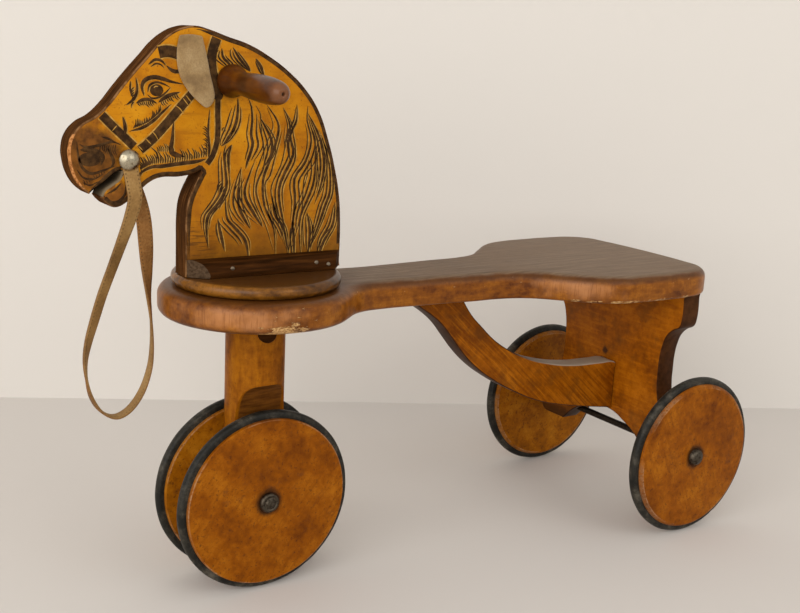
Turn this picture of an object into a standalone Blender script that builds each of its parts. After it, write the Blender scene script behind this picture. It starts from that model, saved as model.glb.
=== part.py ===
"""Horse tricycle: a wooden ride-on toy with a flat horse's head on a steering post.

Measured in millimetres, built in metres. +X is forward, +Y is the rider's left and +Z is up.
The origin is on the floor, under the middle of the toy's length.
"""
import math

import bmesh
import bpy
import numpy as np
from mathutils import Vector

MM = 0.001
GAP = 0.3           # left between pieces that touch
SIDES = (("left", 1), ("right", -1))

# Driving dimensions
WHEELBASE = 373.7
TYRE_RADIUS = 70.0
NOSE_REACH = 140.0  # from the post's axis to the nose
BOARD_THICKNESS = 19.0
PLANK_THICKNESS = 22.0
PLANK_BOTTOM = 210.0

# Places that follow from them
REAR_AXLE_X = -(WHEELBASE + NOSE_REACH - TYRE_RADIUS) / 2
POST_X = REAR_AXLE_X + WHEELBASE
AXLE_Z = TYRE_RADIUS
HALF_BOARD = BOARD_THICKNESS / 2
PLANK_TOP = PLANK_BOTTOM + PLANK_THICKNESS

# Wheels, their tyres and what holds them on the axles
WHEEL_RADIUS = 64.5
WHEEL_THICKNESS = 14.0
WHEEL_SHOULDER = 3.0
WHEEL_STEPS = 32
TYRE_WIDTH = 7.5
TYRE_SEAT_RADIUS = 62.0
AXLE_RADIUS = 3.0
AXLE_HOLE_RADIUS = 3.35
FRONT_WHEEL_Y = 20.8
REAR_WHEEL_Y = 98.5
WASHER_RADIUS = 9.0

# Plank: a round front about the post, a waist and a wide seat
FRONT_RADIUS = 71.5
PLANK_TOP_ROUND = 8.0
PLANK_FRONT_ROUND = 7.0    # under the front edge
PLANK_SEAT_ROUND = 3.0     # under the seat's edge

# Steering: post under the plank, spindle through it, disc and head above
POST_RADIUS = 22.2
TONGUE_BOTTOM = 47.0
SCOOP_BOTTOM = 131.5       # where the tongue's flat side starts to curve out
SCOOP_TOP = 159.5
SCOOP_DEPTH = 14.5
SPINDLE_RADIUS = 12.5
SPINDLE_BOTTOM = 186.0
PLANK_BORE_RADIUS = 13.1
PEG_RADIUS = 7.0
PEG_Z = 199.0
PEG_X = 1.5
PEG_PROUD = 2.0
DISC_RADIUS = 62.0
DISC_THICKNESS = 9.7
DISC_BOTTOM = PLANK_TOP + GAP
DISC_TOP = DISC_BOTTOM + DISC_THICKNESS
HEAD_BOTTOM = DISC_TOP + GAP

# On the head
HANDLE_X = 27.0
HANDLE_Z = 377.5
HANDLE_DROOP = math.radians(3)
TENON_RADIUS = 6.0
TENON_LENGTH = 8.6
TACK_X = 100.6
TACK_Z = 324.8
TACK_RADIUS = 7.2
TACK_SHANK_RADIUS = 1.2
TACK_SHANK_LENGTH = 11.0
STRAP_WIDTH = 10.5
STRAP_THICKNESS = 2.0
STRAP_Y = HALF_BOARD + GAP + STRAP_THICKNESS / 2
EAR_THICKNESS = 2.0
CLEAT_WIDTH = 11.0
CLEAT_HEIGHT = 12.5
CLEAT_FRONT = 59.0
CLEAT_REAR = -63.0
CLEAT_FRONT_SLOPE = math.radians(48)    # how far its sawn ends lean back from the head
CLEAT_REAR_SLOPE = math.radians(38)
CLEAT_NAILS = ((1, 28.6, 6.1, 0), (2, -38.7, 6.0, 0), (3, -48.5, 4.4, 1))    # x, height, downward share
NAIL_HEAD_RADIUS = 1.7
NAIL_SHANK_RADIUS = 1.0
NAIL_HOLE_RADIUS = 1.35
NAIL_LENGTH = 17.0

# Rear board with two feet, and the brace
SEAT_BOARD_HALF = 83.0
FOOT_HALF = 87.5
FOOT_BOTTOM = 57.0
SEAT_DOWEL_Y = 45.0
SEAT_DOWEL_RADIUS = 5.0
BRACE_THICKNESS = 19.0
BRACE_DOWEL_RADIUS = 4.0
BRACE_DOWELS = (("front", 220.0), ("rear", 204.0))

# How an outline's plane stands, as the outline's own X, Y and thickness are turned
LYING = (0.0, 0.0, 0.0)
ALONG = (math.pi / 2, 0.0, 0.0)
ACROSS = (math.pi / 2, 0.0, math.pi / 2)

# The seat plank's left half from the post to the rear edge, from the rear axle and the centre line
PLANK_SIDE = (
    (303, 35.0), (279, 31.0), (246, 32.0), (200, 35.5), (171, 37.0), (149, 43.5), (126, 62.5),
    (102, 82.0), (79, 89.5), (50, 91.5), (18, 91.5), (-6, 87.0), (-22, 72.0), (-26, 50.0), (-28, 22.0))

# The brace's upper and lower edges, from the rear board to the plank
BRACE_UPPER = (
    (12, 132.0), (29, 133.0), (60, 134.3), (90, 139.2), (120, 148.5), (150, 164.5), (168, 180.0),
    (181, 193.0))
BRACE_LOWER = (
    (231, 201.5), (219, 193.5), (208, 184.0), (198, 172.3), (186.5, 158.8), (173, 146.0), (154, 132.5),
    (129, 118.5), (102, 106.5), (71, 98.0), (40, 92.0))

# The rear board's left half from the seat down, as distance from the centre line and height
BOARD_SIDE = (
    (83.0, 187.0), (81.0, 181.0), (74.0, 176.5), (68.0, 170.5), (64.2, 161.0), (62.2, 149.0),
    (62.0, 137.0), (62.4, 124.0), (64.5, 112.5), (68.0, 103.5), (74.0, 97.0), (81.5, 91.8))
FOOT_TOP = 86.0
FOOT_ROUND = 8.0
FOOT_INNER = 55.5
ARCH_SIDE = ((40.0, 71.2), (24.7, 79.0), (12.5, 83.7))

# The head's outline from the post's axis: profile points, and the corners among them
NECK_FRONT = ((59.6, 265), (59.4, 284), (58.2, 294), (55.2, 302.5), (51.0, 310.5))
THROAT = (47.5, 317.5)
JAW = (
    (54.5, 314.4), (64, 312.7), (78, 312.3), (85, 309.7), (93, 303.3), (101, 296.8), (108, 293.4),
    (112.5, 294), (116.5, 296.8))
LOWER_LIP = (119.4, 300.2)
MOUTH = ((117, 305), (111.5, 309), (106.4, 313), (105.6, 317.3), (111, 315), (119, 309.6))
UPPER_LIP = (127.1, 302.8)
NOSE = (
    (132.5, 307.5), (137.2, 315.3), (139.7, 325), (140, 331.5), (137.6, 340.5), (131, 348.2),
    (122.5, 353))
FOREHEAD = ((114, 360.8), (105.3, 371.5), (96, 382.4), (87, 392.2), (78, 402), (69, 408.6))
CROWN = ((62, 411.6), (53, 413), (43, 411), (30, 407), (14, 402.4))
MANE = (
    (-2, 394.8), (-18, 384.5), (-32, 372), (-43, 357), (-51.5, 336.5), (-57.8, 316), (-62.2, 296),
    (-64.1, 276))

# The ear's outline on the head's face, from its glued top round the tip
EAR_TOP = ((65.4, 407.3), (49.6, 407.0))
EAR_BACK = ((46.6, 395.8), (43.0, 381), (40.6, 370.5))
EAR_TIP = ((43.0, 362.4), (46.6, 359.4), (51.8, 362.2))
EAR_FRONT = ((59.6, 369.2), (65.8, 381), (67.5, 396))

# The rein's centre line from the left tack to the right one, from the post's axis, and how far the
# strap has turned from lying flat on the head's side, in degrees
REIN_ROUTE = (
    (101.6, 10.8, 330.5, 0), (99.2, 10.8, 317.0, 0), (97.4, 11.0, 307.0, 2), (96.9, 11.4, 298.0, 8),
    (100.0, 11.4, 286.4, 18), (105.6, 10.4, 270.4, 28), (111.7, 8.8, 253.0, 33), (118.1, 6.8, 234.4, 35),
    (123.4, 4.8, 215.5, 38), (127.2, 3.2, 200.0, 46), (128.8, 2.0, 186.5, 60), (127.6, 1.2, 172.5, 76),
    (124.2, 0.6, 160.0, 88), (117.6, -0.2, 149.6, 92), (107.4, -1.2, 143.8, 93), (96.6, -2.4, 147.4, 93),
    (87.0, -3.6, 158.7, 94), (80.6, -5.0, 174.4, 97), (78.3, -6.2, 190.0, 102), (78.0, -8.0, 208.4, 110),
    (79.2, -9.8, 227.0, 124), (79.8, -11.2, 246.5, 155), (80.4, -12.0, 264.8, 185),
    (81.6, -12.6, 280.3, 198), (84.6, -12.6, 293.0, 196), (90.0, -11.6, 306.0, 188),
    (96.4, -10.8, 317.0, 180), (103.4, -10.8, 329.5, 180))
STRAP_STEPS = 50


def clear_scene():
    """Remove what a new Blender scene holds."""
    for thing in list(bpy.data.objects):
        bpy.data.objects.remove(thing)


def collection(name):
    made = bpy.data.collections.new(name)
    bpy.context.scene.collection.children.link(made)
    return made


def axis_empty(name, x):
    """An empty on the floor that a group of pieces is measured from."""
    empty = bpy.data.objects.new(name, None)
    empty.location = (x * MM, 0, 0)
    parts.objects.link(empty)
    return empty


def metres(point):
    return Vector(point) * MM


def finish(thing, colour, roughness, metallic=0.0):
    """Give a piece a material of its own."""
    material = bpy.data.materials.new(thing.name + "_finish")
    material.use_nodes = True
    shader = material.node_tree.nodes["Principled BSDF"]
    shader.inputs["Base Color"].default_value = (*colour, 1.0)
    shader.inputs["Roughness"].default_value = roughness
    shader.inputs["Metallic"].default_value = metallic
    thing.data.materials.clear()
    thing.data.materials.append(material)
    return thing


def honey_wood(thing):
    return finish(thing, (0.40, 0.155, 0.035), 0.42)


def dark_wood(thing):
    return finish(thing, (0.035, 0.014, 0.008), 0.5)


def raw_wood(thing):
    return finish(thing, (0.45, 0.30, 0.16), 0.7)


def red_wood(thing):
    return finish(thing, (0.16, 0.035, 0.012), 0.3)


def printed_wood(thing):
    return finish(thing, (0.55, 0.26, 0.05), 0.45)


def tan_leather(thing):
    return finish(thing, (0.30, 0.18, 0.09), 0.75)


def grey_suede(thing):
    return finish(thing, (0.36, 0.30, 0.22), 0.9)


def black_rubber(thing):
    return finish(thing, (0.02, 0.019, 0.018), 0.7)


def dark_steel(thing):
    return finish(thing, (0.06, 0.05, 0.045), 0.45, 0.9)


def nickel(thing):
    return finish(thing, (0.55, 0.50, 0.38), 0.25, 1.0)


def place(name, mesh, home, parent, location, axis=None, rotation=LYING):
    """Put a mesh in a collection as an object, with its own Z along an axis if one is given."""
    thing = bpy.data.objects.new(name, mesh)
    thing.location = metres(location)
    thing.rotation_euler = rotation
    if axis is not None:
        thing.rotation_euler = Vector(axis).to_track_quat("Z", "Y").to_euler()
    thing.parent = parent
    home.objects.link(thing)
    if home == cutters:
        thing.hide_render = True
        thing.display_type = "WIRE"
    return thing


def turned(name, profile, steps, parent, location, axis=None, ring=False):
    """Turn a profile of (radius, height) about its own Z, from the top down its outer side."""
    points = [(radius * MM, 0.0, height * MM) for radius, height in profile]
    edges = [(i, i + 1) for i in range(len(points) - 1)]
    if ring:
        edges.append((len(points) - 1, 0))
    mesh = bpy.data.meshes.new(name)
    mesh.from_pydata(points, edges, [])
    thing = place(name, mesh, parts, parent, location, axis)
    screw = thing.modifiers.new("Turn", "SCREW")
    screw.steps = steps
    screw.render_steps = steps
    screw.use_merge_vertices = True
    screw.merge_threshold = 0.00001
    screw.use_smooth_shade = True
    return thing


def rod(name, radius, start, end, steps, parent, chamfer=0.5):
    """A straight rod or dowel from start to end, with chamfered ends."""
    axis = Vector(end) - Vector(start)
    half = axis.length / 2
    profile = (
        (0, half), (radius - chamfer, half), (radius, half - chamfer),
        (radius, chamfer - half), (radius - chamfer, -half), (0, -half))
    return turned(name, profile, steps, parent, (Vector(start) + Vector(end)) / 2, axis)


def drill(name, radius, start, end, parent, sides=16):
    """A cutter: a straight round hole from start to end."""
    axis = Vector(end) - Vector(start)
    shape = bmesh.new()
    bmesh.ops.create_cone(
        shape, cap_ends=True, segments=sides, radius1=radius * MM, radius2=radius * MM,
        depth=axis.length * MM)
    mesh = bpy.data.meshes.new(name)
    shape.to_mesh(mesh)
    shape.free()
    return place(name, mesh, cutters, parent, (Vector(start) + Vector(end)) / 2, axis)


def cut(thing, *tools):
    """Take the cutters' shapes out of a piece."""
    for tool in tools:
        hole = thing.modifiers.new(tool.name, "BOOLEAN")
        hole.operation = "DIFFERENCE"
        hole.object = tool


def smooth(points):
    return [(point, "AUTO") for point in points]


def corner(*points):
    return [(point, "VECTOR") for point in points]


def arc(centre, radii, start, end, steps):
    """Points on an ellipse's arc, from one angle in degrees to another."""
    angles = np.radians(np.linspace(start, end, steps + 1))
    return [(centre[0] + radii[0] * math.cos(a), centre[1] + radii[1] * math.sin(a)) for a in angles]


def outline_mesh(name, outline, thickness, resolution=3):
    """A flat board's mesh: the outline's Bezier curve, filled and as thick as the board."""
    curve = bpy.data.curves.new(name, "CURVE")
    curve.dimensions = "2D"
    curve.fill_mode = "BOTH"
    curve.extrude = thickness / 2 * MM
    curve.resolution_u = resolution
    spline = curve.splines.new("BEZIER")
    spline.use_cyclic_u = True
    spline.bezier_points.add(len(outline) - 1)
    for knot, (point, handle) in zip(spline.bezier_points, outline):
        knot.co = (point[0] * MM, point[1] * MM, 0)
        knot.handle_left_type = handle
        knot.handle_right_type = handle
    drawn = bpy.data.objects.new(name + "_outline", curve)
    bpy.context.scene.collection.objects.link(drawn)
    bpy.context.view_layer.update()
    mesh = bpy.data.meshes.new_from_object(drawn.evaluated_get(bpy.context.evaluated_depsgraph_get()))
    bpy.data.objects.remove(drawn)
    mesh.name = name
    shape = bmesh.new()
    shape.from_mesh(mesh)
    bmesh.ops.remove_doubles(shape, verts=shape.verts, dist=0.01 * MM)
    bmesh.ops.dissolve_limit(
        shape, angle_limit=math.radians(0.3), verts=shape.verts, edges=shape.edges)
    bmesh.ops.recalc_face_normals(shape, faces=shape.faces)
    shape.to_mesh(mesh)
    shape.free()
    return mesh


def board(name, outline, thickness, stands, parent, location, resolution=3):
    return place(
        name, outline_mesh(name, outline, thickness, resolution), parts, parent, location,
        rotation=stands)


def ease_edges(thing, width, segments, share_below=None):
    """Round a board's two outer edges. share_below gives the lower edge's share of the width."""
    mesh = thing.data
    weights = mesh.attributes.new("bevel_weight_edge", "FLOAT", "EDGE")
    for edge in mesh.edges:
        ends = [mesh.vertices[i].co for i in edge.vertices]
        if abs(ends[0].z - ends[1].z) > 0.01 * MM:
            continue
        middle = (ends[0] + ends[1]) / 2 / MM
        below = middle.z < 0 and share_below is not None
        weights.data[edge.index].value = share_below(middle.x) if below else 1.0
    bevel = thing.modifiers.new("Ease", "BEVEL")
    bevel.limit_method = "WEIGHT"
    bevel.width = width * MM
    bevel.segments = segments
    bevel.use_clamp_overlap = False


def nail(name, head, direction, parent, length=NAIL_LENGTH):
    """A nail whose head's top is at a point, driven in a direction, and the hole that it fills."""
    profile = (
        (0, 0.9), (NAIL_HEAD_RADIUS * 0.7, 0.7), (NAIL_HEAD_RADIUS, 0.0), (NAIL_SHANK_RADIUS, -0.2),
        (NAIL_SHANK_RADIUS, 1.5 - length), (0, -length))
    driven = Vector(direction).normalized()
    made = dark_steel(turned(name, profile, 8, parent, head, -driven))
    outside = Vector(head) - driven * 6
    seat = Vector(head) + driven * 0.6
    recess = drill(name + "_recess", NAIL_HEAD_RADIUS + 0.4, outside, seat, parent, 10)
    inside = Vector(head) + driven * (length + 0.6)
    hole = drill(name + "_hole", NAIL_HOLE_RADIUS, outside, inside, parent, 8)
    return made, recess, hole


def seat_plank():
    """The plank: a round front about the post, a waist, and a seat over the rear board."""
    left = [(x, y) for x, y in PLANK_SIDE]
    front = arc((WHEELBASE, 0), (FRONT_RADIUS, FRONT_RADIUS), -134, 134, 20)
    right = [(x, -y) for x, y in reversed(left)]
    plank = board(
        "seat_plank", smooth(front + left + right), PLANK_THICKNESS, LYING, rear,
        (0, 0, PLANK_BOTTOM + PLANK_THICKNESS / 2), 2)

    def share(x):
        """The lower edge is rounder towards the front."""
        forward = min(max((x - 250) / (WHEELBASE - 250), 0), 1)
        round_here = PLANK_SEAT_ROUND + (PLANK_FRONT_ROUND - PLANK_SEAT_ROUND) * forward
        return round_here / PLANK_TOP_ROUND

    ease_edges(plank, PLANK_TOP_ROUND, 2, share)
    bore = drill(
        "plank_bore", PLANK_BORE_RADIUS, (WHEELBASE, 0, PLANK_BOTTOM - 5),
        (WHEELBASE, 0, PLANK_TOP + 5), rear, 32)
    cut(plank, bore)
    return honey_wood(plank)


def curved_brace():
    """The brace: two long curves that rise from the rear board to the plank's underside."""
    start = HALF_BOARD + GAP
    top = PLANK_BOTTOM - GAP
    edge = corner((start, 87.0), (start, 130.6)) + smooth(BRACE_UPPER)
    edge += corner((192.5, top), (242.5, top)) + smooth(BRACE_LOWER)
    brace = board("curved_brace", edge, BRACE_THICKNESS, ALONG, rear, (0, 0, 0), 2)
    ease_edges(brace, 1.2, 1)
    return honey_wood(brace)


def rear_leg_board():
    """The rear board: narrow in the middle, with an arch between its two feet."""
    top = PLANK_BOTTOM - GAP
    foot = arc((FOOT_HALF - FOOT_ROUND, FOOT_BOTTOM + FOOT_ROUND), (FOOT_ROUND, FOOT_ROUND), 0, -90, 4)
    left = smooth(BOARD_SIDE) + corner((FOOT_HALF, FOOT_TOP), *foot, (FOOT_INNER, FOOT_BOTTOM))
    left += smooth(ARCH_SIDE)
    right = [((-y, z), handle) for (y, z), handle in reversed(left)]
    edge = corner((SEAT_BOARD_HALF, top)) + left + smooth([(0, 85.0)]) + right
    edge += corner((-SEAT_BOARD_HALF, top))
    leg = board("rear_leg_board", edge, BOARD_THICKNESS, ACROSS, rear, (0, 0, 0), 2)
    ease_edges(leg, 1.2, 1)
    hole = drill(
        "rear_axle_hole", AXLE_HOLE_RADIUS, (0, -FOOT_HALF - 5, AXLE_Z), (0, FOOT_HALF + 5, AXLE_Z),
        rear)
    cut(leg, hole)
    return honey_wood(leg)


def blind_dowel(name, radius, x, y, bottom, top, *pieces):
    """A hidden dowel that pins the plank to the piece below it."""
    raw_wood(rod(name, radius, (x, y, bottom), (x, y, top), 12, rear))
    hole = drill(name + "_hole", radius + 0.35, (x, y, bottom - 0.6), (x, y, top + 0.6), rear)
    for piece in pieces:
        cut(piece, hole)


def joints_under_the_seat(plank, brace, leg):
    """Dowels under the plank, and the nail that holds the brace's end to the rear board."""
    for side, sign in SIDES:
        blind_dowel(
            "seat_dowel_" + side, SEAT_DOWEL_RADIUS, 0, sign * SEAT_DOWEL_Y, 190, 223, plank, leg)
    for place_name, x in BRACE_DOWELS:
        blind_dowel("brace_dowel_" + place_name, BRACE_DOWEL_RADIUS, x, 0, 199, 221, plank, brace)
    _, recess, hole = nail("brace_toe_nail", (15.0, -3.3, 132.3), (-1, 0, -0.85), rear)
    cut(brace, recess, hole)
    cut(leg, hole)


def wheel(name, parent, y):
    """A turned wooden wheel on its own axis, with a groove round its rim for the tyre."""
    half = WHEEL_THICKNESS / 2
    groove = TYRE_WIDTH / 2 + GAP
    lip = (WHEEL_SHOULDER, half - groove)
    upper = arc((WHEEL_RADIUS - WHEEL_SHOULDER, groove), lip, 90, 0, 2)
    floor = TYRE_SEAT_RADIUS - GAP
    profile = [(AXLE_HOLE_RADIUS, half)] + upper + [(floor, groove)]
    profile += [(radius, -height) for radius, height in reversed(profile)]
    return honey_wood(turned(name, profile, WHEEL_STEPS, parent, (0, y, AXLE_Z), (0, 1, 0), True))


def tyre(name, parent, y):
    """A rubber ring with a half-round tread, in the wheel's groove."""
    half = TYRE_WIDTH / 2
    edge_angle = 18
    crown = TYRE_RADIUS - half * math.cos(math.radians(edge_angle))
    profile = [(TYRE_SEAT_RADIUS, half)] + arc((crown, 0), (half, half), 90, -90, 5)
    profile += [(TYRE_SEAT_RADIUS, -half)]
    return black_rubber(turned(name, profile, WHEEL_STEPS, parent, (0, y, AXLE_Z), (0, 1, 0), True))


def washer(name, parent, inner_face, outer_face, sign):
    """A washer on the axle between a wooden face and its wheel."""
    half = (outer_face - inner_face) / 2 - 0.4
    profile = (
        (AXLE_HOLE_RADIUS, half), (WASHER_RADIUS, half), (WASHER_RADIUS, -half),
        (AXLE_HOLE_RADIUS, -half))
    y = sign * (inner_face + outer_face) / 2
    return dark_steel(turned(name, profile, 20, parent, (0, y, AXLE_Z), (0, 1, 0), True))


def hub_cap(name, parent, base_y, sign, dome, socket_depth):
    """A pressed cap on the axle's end, open inside where the rod ends."""
    socket = AXLE_RADIUS + GAP
    profile = list(dome) + [(socket, 0), (socket, socket_depth), (0, socket_depth)]
    return dark_steel(
        turned(name, profile, 16, parent, (0, sign * base_y, AXLE_Z), (0, sign, 0)))


def rear_running_gear():
    """The rear axle with its wheels, tyres, washers and domed caps."""
    outer = REAR_WHEEL_Y + WHEEL_THICKNESS / 2
    base = outer + 0.4
    end = base + 3.2
    dark_steel(rod("rear_axle", AXLE_RADIUS, (0, -end, AXLE_Z), (0, end, AXLE_Z), 16, rear))
    dome = ((0, 5.0), (3.0, 4.7), (5.6, 3.6), (7.2, 1.8), (7.6, 0))
    for side, sign in SIDES:
        washer("rear_washer_" + side, rear, FOOT_HALF, REAR_WHEEL_Y - WHEEL_THICKNESS / 2, sign)
        wheel("rear_wheel_" + side, rear, sign * REAR_WHEEL_Y)
        tyre("rear_tyre_" + side, rear, sign * REAR_WHEEL_Y)
        hub_cap("rear_hub_cap_" + side, rear, base, sign, dome, 3.6)


def front_running_gear():
    """The front axle with its wheels, tyres, washers and flat, ringed caps."""
    outer = FRONT_WHEEL_Y + WHEEL_THICKNESS / 2
    base = outer + 0.4
    end = base + 2.0
    dark_steel(rod("front_axle", AXLE_RADIUS, (0, -end, AXLE_Z), (0, end, AXLE_Z), 16, steering))
    dome = ((0, 3.6), (3.2, 3.5), (3.9, 2.9), (5.0, 2.8), (6.4, 2.9), (7.5, 2.0), (7.8, 0))
    for side, sign in SIDES:
        washer("front_washer_" + side, steering, HALF_BOARD, FRONT_WHEEL_Y - WHEEL_THICKNESS / 2, sign)
        wheel("front_wheel_" + side, steering, sign * FRONT_WHEEL_Y)
        tyre("front_tyre_" + side, steering, sign * FRONT_WHEEL_Y)
        hub_cap("front_hub_cap_" + side, steering, base, sign, dome, 2.4)


def steering_post():
    """The post: round at the top, scooped on both sides to a tongue between the front wheels."""
    top = PLANK_BOTTOM - GAP
    post = rod("steering_post", POST_RADIUS, (0, 0, TONGUE_BOTTOM), (0, 0, top), 32, steering, 1.0)
    wall = POST_RADIUS + 8
    below = TONGUE_BOTTOM - 8
    curve = arc((HALF_BOARD + SCOOP_DEPTH, SCOOP_BOTTOM), (SCOOP_DEPTH, SCOOP_TOP - SCOOP_BOTTOM), 180, 90, 9)
    scoop = corner((wall, below), (HALF_BOARD, below)) + corner(*curve) + corner((wall, SCOOP_TOP))
    mesh = outline_mesh("scoop", scoop, 2 * wall, 1)
    for side, sign in SIDES:
        stands = (math.pi / 2, 0, sign * math.pi / 2)
        cut(post, place("scoop_" + side, mesh, cutters, steering, (0, 0, 0), rotation=stands))
    axle_hole = drill(
        "front_axle_hole", AXLE_HOLE_RADIUS, (0, -wall, AXLE_Z), (0, wall, AXLE_Z), steering)
    socket = drill(
        "post_socket", SPINDLE_RADIUS + GAP, (0, 0, SPINDLE_BOTTOM - 0.6), (0, 0, top + 5), steering, 32)
    cut(post, axle_hole, socket)
    return honey_wood(post)


def steering_stack():
    """The spindle through the plank, its cross peg in the post, and the disc above the plank."""
    post = steering_post()
    spindle = raw_wood(
        rod("steering_spindle", SPINDLE_RADIUS, (0, 0, SPINDLE_BOTTOM), (0, 0, DISC_TOP - 0.4), 24, steering))
    reach = POST_RADIUS + PEG_PROUD
    dark_wood(rod("post_cross_peg", PEG_RADIUS, (PEG_X, -reach, PEG_Z), (PEG_X, reach, PEG_Z), 20, steering))
    peg_hole = drill(
        "peg_hole", PEG_RADIUS + 0.4, (PEG_X, -reach - 5, PEG_Z), (PEG_X, reach + 5, PEG_Z), steering, 20)
    cut(post, peg_hole)
    cut(spindle, peg_hole)

    half = DISC_THICKNESS / 2
    rim = arc((DISC_RADIUS - half, 0), (half, half), 90, -90, 4)
    disc_hole = SPINDLE_RADIUS + GAP
    profile = [(disc_hole, half)] + rim + [(disc_hole, -half)]
    disc = turned("turntable_disc", profile, 36, steering, (0, 0, DISC_BOTTOM + half), ring=True)
    return red_wood(disc)


def head_board():
    """The sawn horse's head, with its neck's foot on the disc."""
    edge = corner((59.5, HEAD_BOTTOM)) + smooth(NECK_FRONT) + corner(THROAT) + smooth(JAW)
    edge += corner(LOWER_LIP) + smooth(MOUTH) + corner(UPPER_LIP) + smooth(NOSE + FOREHEAD + CROWN + MANE)
    edge += corner((-64.3, HEAD_BOTTOM))
    head = board("head_board", edge, BOARD_THICKNESS, ALONG, steering, (0, 0, 0), 2)
    ease_edges(head, 2.0, 1)
    return printed_wood(head)


def cleats(head, disc):
    """Quarter-round mouldings along the head's foot, with both ends sawn on a slope and three nails."""
    inner = HALF_BOARD + GAP
    length = CLEAT_FRONT - CLEAT_REAR
    middle = (CLEAT_FRONT + CLEAT_REAR) / 2
    quarter = arc((0, 0), (CLEAT_WIDTH, CLEAT_HEIGHT), 0, 90, 7)
    mesh = outline_mesh("cleat", corner((0, 0), *quarter), length, 1)
    reach = 30
    for side, sign in SIDES:
        cleat = place(
            "cleat_" + side, mesh.copy(), parts, steering, (middle, sign * inner, HEAD_BOTTOM),
            rotation=(math.pi / 2, 0, sign * math.pi / 2))
        for end, toward, slope in ((CLEAT_FRONT, 1, CLEAT_FRONT_SLOPE), (CLEAT_REAR, -1, CLEAT_REAR_SLOPE)):
            block = bmesh.new()
            bmesh.ops.create_cube(block, size=2 * reach * MM)
            cube = bpy.data.meshes.new("cleat_end_%s_%d" % (side, end))
            block.to_mesh(cube)
            block.free()
            beyond = (
                end + toward * reach * math.cos(slope), sign * (inner + reach * math.sin(slope)), HEAD_BOTTOM)
            cut(cleat, place(
                cube.name, cube, cutters, steering, beyond, rotation=(0, 0, toward * sign * slope)))
        for number, x, height, downward in CLEAT_NAILS:
            across = CLEAT_WIDTH * math.sqrt(1 - (height / CLEAT_HEIGHT) ** 2)
            head_at = (x, sign * (inner + across), HEAD_BOTTOM + height)
            _, recess, hole = nail(
                "cleat_nail_%s_%d" % (side, number), head_at, (0, -sign, -downward), steering)
            cut(cleat, recess, hole)
            cut(disc if downward else head, hole)
        dark_wood(cleat)


def handles(head):
    """Turned grips on the head's two sides, each with a tenon glued in the board."""
    grip = (
        (0, 76.5), (4.2, 75.6), (6.8, 72.0), (8.2, 65.0), (9.0, 52.0), (8.8, 36.0), (7.9, 20.5), (8.6, 11.5),
        (10.6, 5.5), (11.4, 1.6), (10.9, 0.3), (TENON_RADIUS, 0.3), (TENON_RADIUS, -TENON_LENGTH),
        (0, -TENON_LENGTH))
    for side, sign in SIDES:
        axis = Vector((0, sign * math.cos(HANDLE_DROOP), -math.sin(HANDLE_DROOP)))
        base = Vector((HANDLE_X, sign * (HALF_BOARD + 0.6), HANDLE_Z))
        red_wood(turned("handle_" + side, grip, 16, steering, base, axis))
        socket = drill(
            "handle_socket_" + side, TENON_RADIUS + 0.35, base - axis * (TENON_LENGTH + 0.5),
            base + axis * 10, steering, 20)
        cut(head, socket)


def ears():
    """Leather leaves glued flat beside the forehead."""
    leaf = corner(*EAR_TOP) + smooth(EAR_BACK + EAR_TIP + EAR_FRONT)
    for side, sign in SIDES:
        y = sign * (HALF_BOARD + 0.4 + EAR_THICKNESS / 2)
        grey_suede(board("ear_" + side, leaf, EAR_THICKNESS, ALONG, steering, (0, y, 0)))


def route_at(points, where):
    """A smooth curve through the route's points (Catmull-Rom), where runs from 0 to 1."""
    known = np.array(points, dtype=float)
    padded = np.vstack([2 * known[0] - known[1], known, 2 * known[-1] - known[-2]])
    span = min(int(where * (len(known) - 1)), len(known) - 2)
    t = where * (len(known) - 1) - span
    p0, p1, p2, p3 = padded[span:span + 4]
    return 0.5 * (
        2 * p1 + (p2 - p0) * t + (2 * p0 - 5 * p1 + 4 * p2 - p3) * t ** 2
        + (3 * p1 - p0 - 3 * p2 + p3) * t ** 3)


def rein_strap(tack_holes):
    """One flat strap from tack to tack. It turns a quarter by the loop's foot, and again above it."""
    strip = bmesh.new()
    bmesh.ops.create_grid(strip, x_segments=STRAP_STEPS, y_segments=1, size=1)
    for vertex in strip.verts:
        where = (vertex.co.x + 1) / 2
        here = route_at(REIN_ROUTE, where)
        step = 0.002
        along = Vector((
            route_at(REIN_ROUTE, min(where + step, 1)) - route_at(REIN_ROUTE, max(where - step, 0)))[:3])
        along.normalize()
        flat = along.cross(Vector((0, 1, 0))).normalized()
        turned_in = flat.cross(along)
        turn = math.radians(here[3])
        across = flat * math.cos(turn) + turned_in * math.sin(turn)
        vertex.co = metres(here[:3]) + metres(across * vertex.co.y * STRAP_WIDTH / 2)
    mesh = bpy.data.meshes.new("rein_strap")
    strip.to_mesh(mesh)
    strip.free()
    strap = place("rein_strap", mesh, parts, steering, (0, 0, 0))
    thick = strap.modifiers.new("Thickness", "SOLIDIFY")
    thick.thickness = STRAP_THICKNESS * MM
    thick.offset = 0
    cut(strap, *tack_holes)
    return tan_leather(strap)


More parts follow.
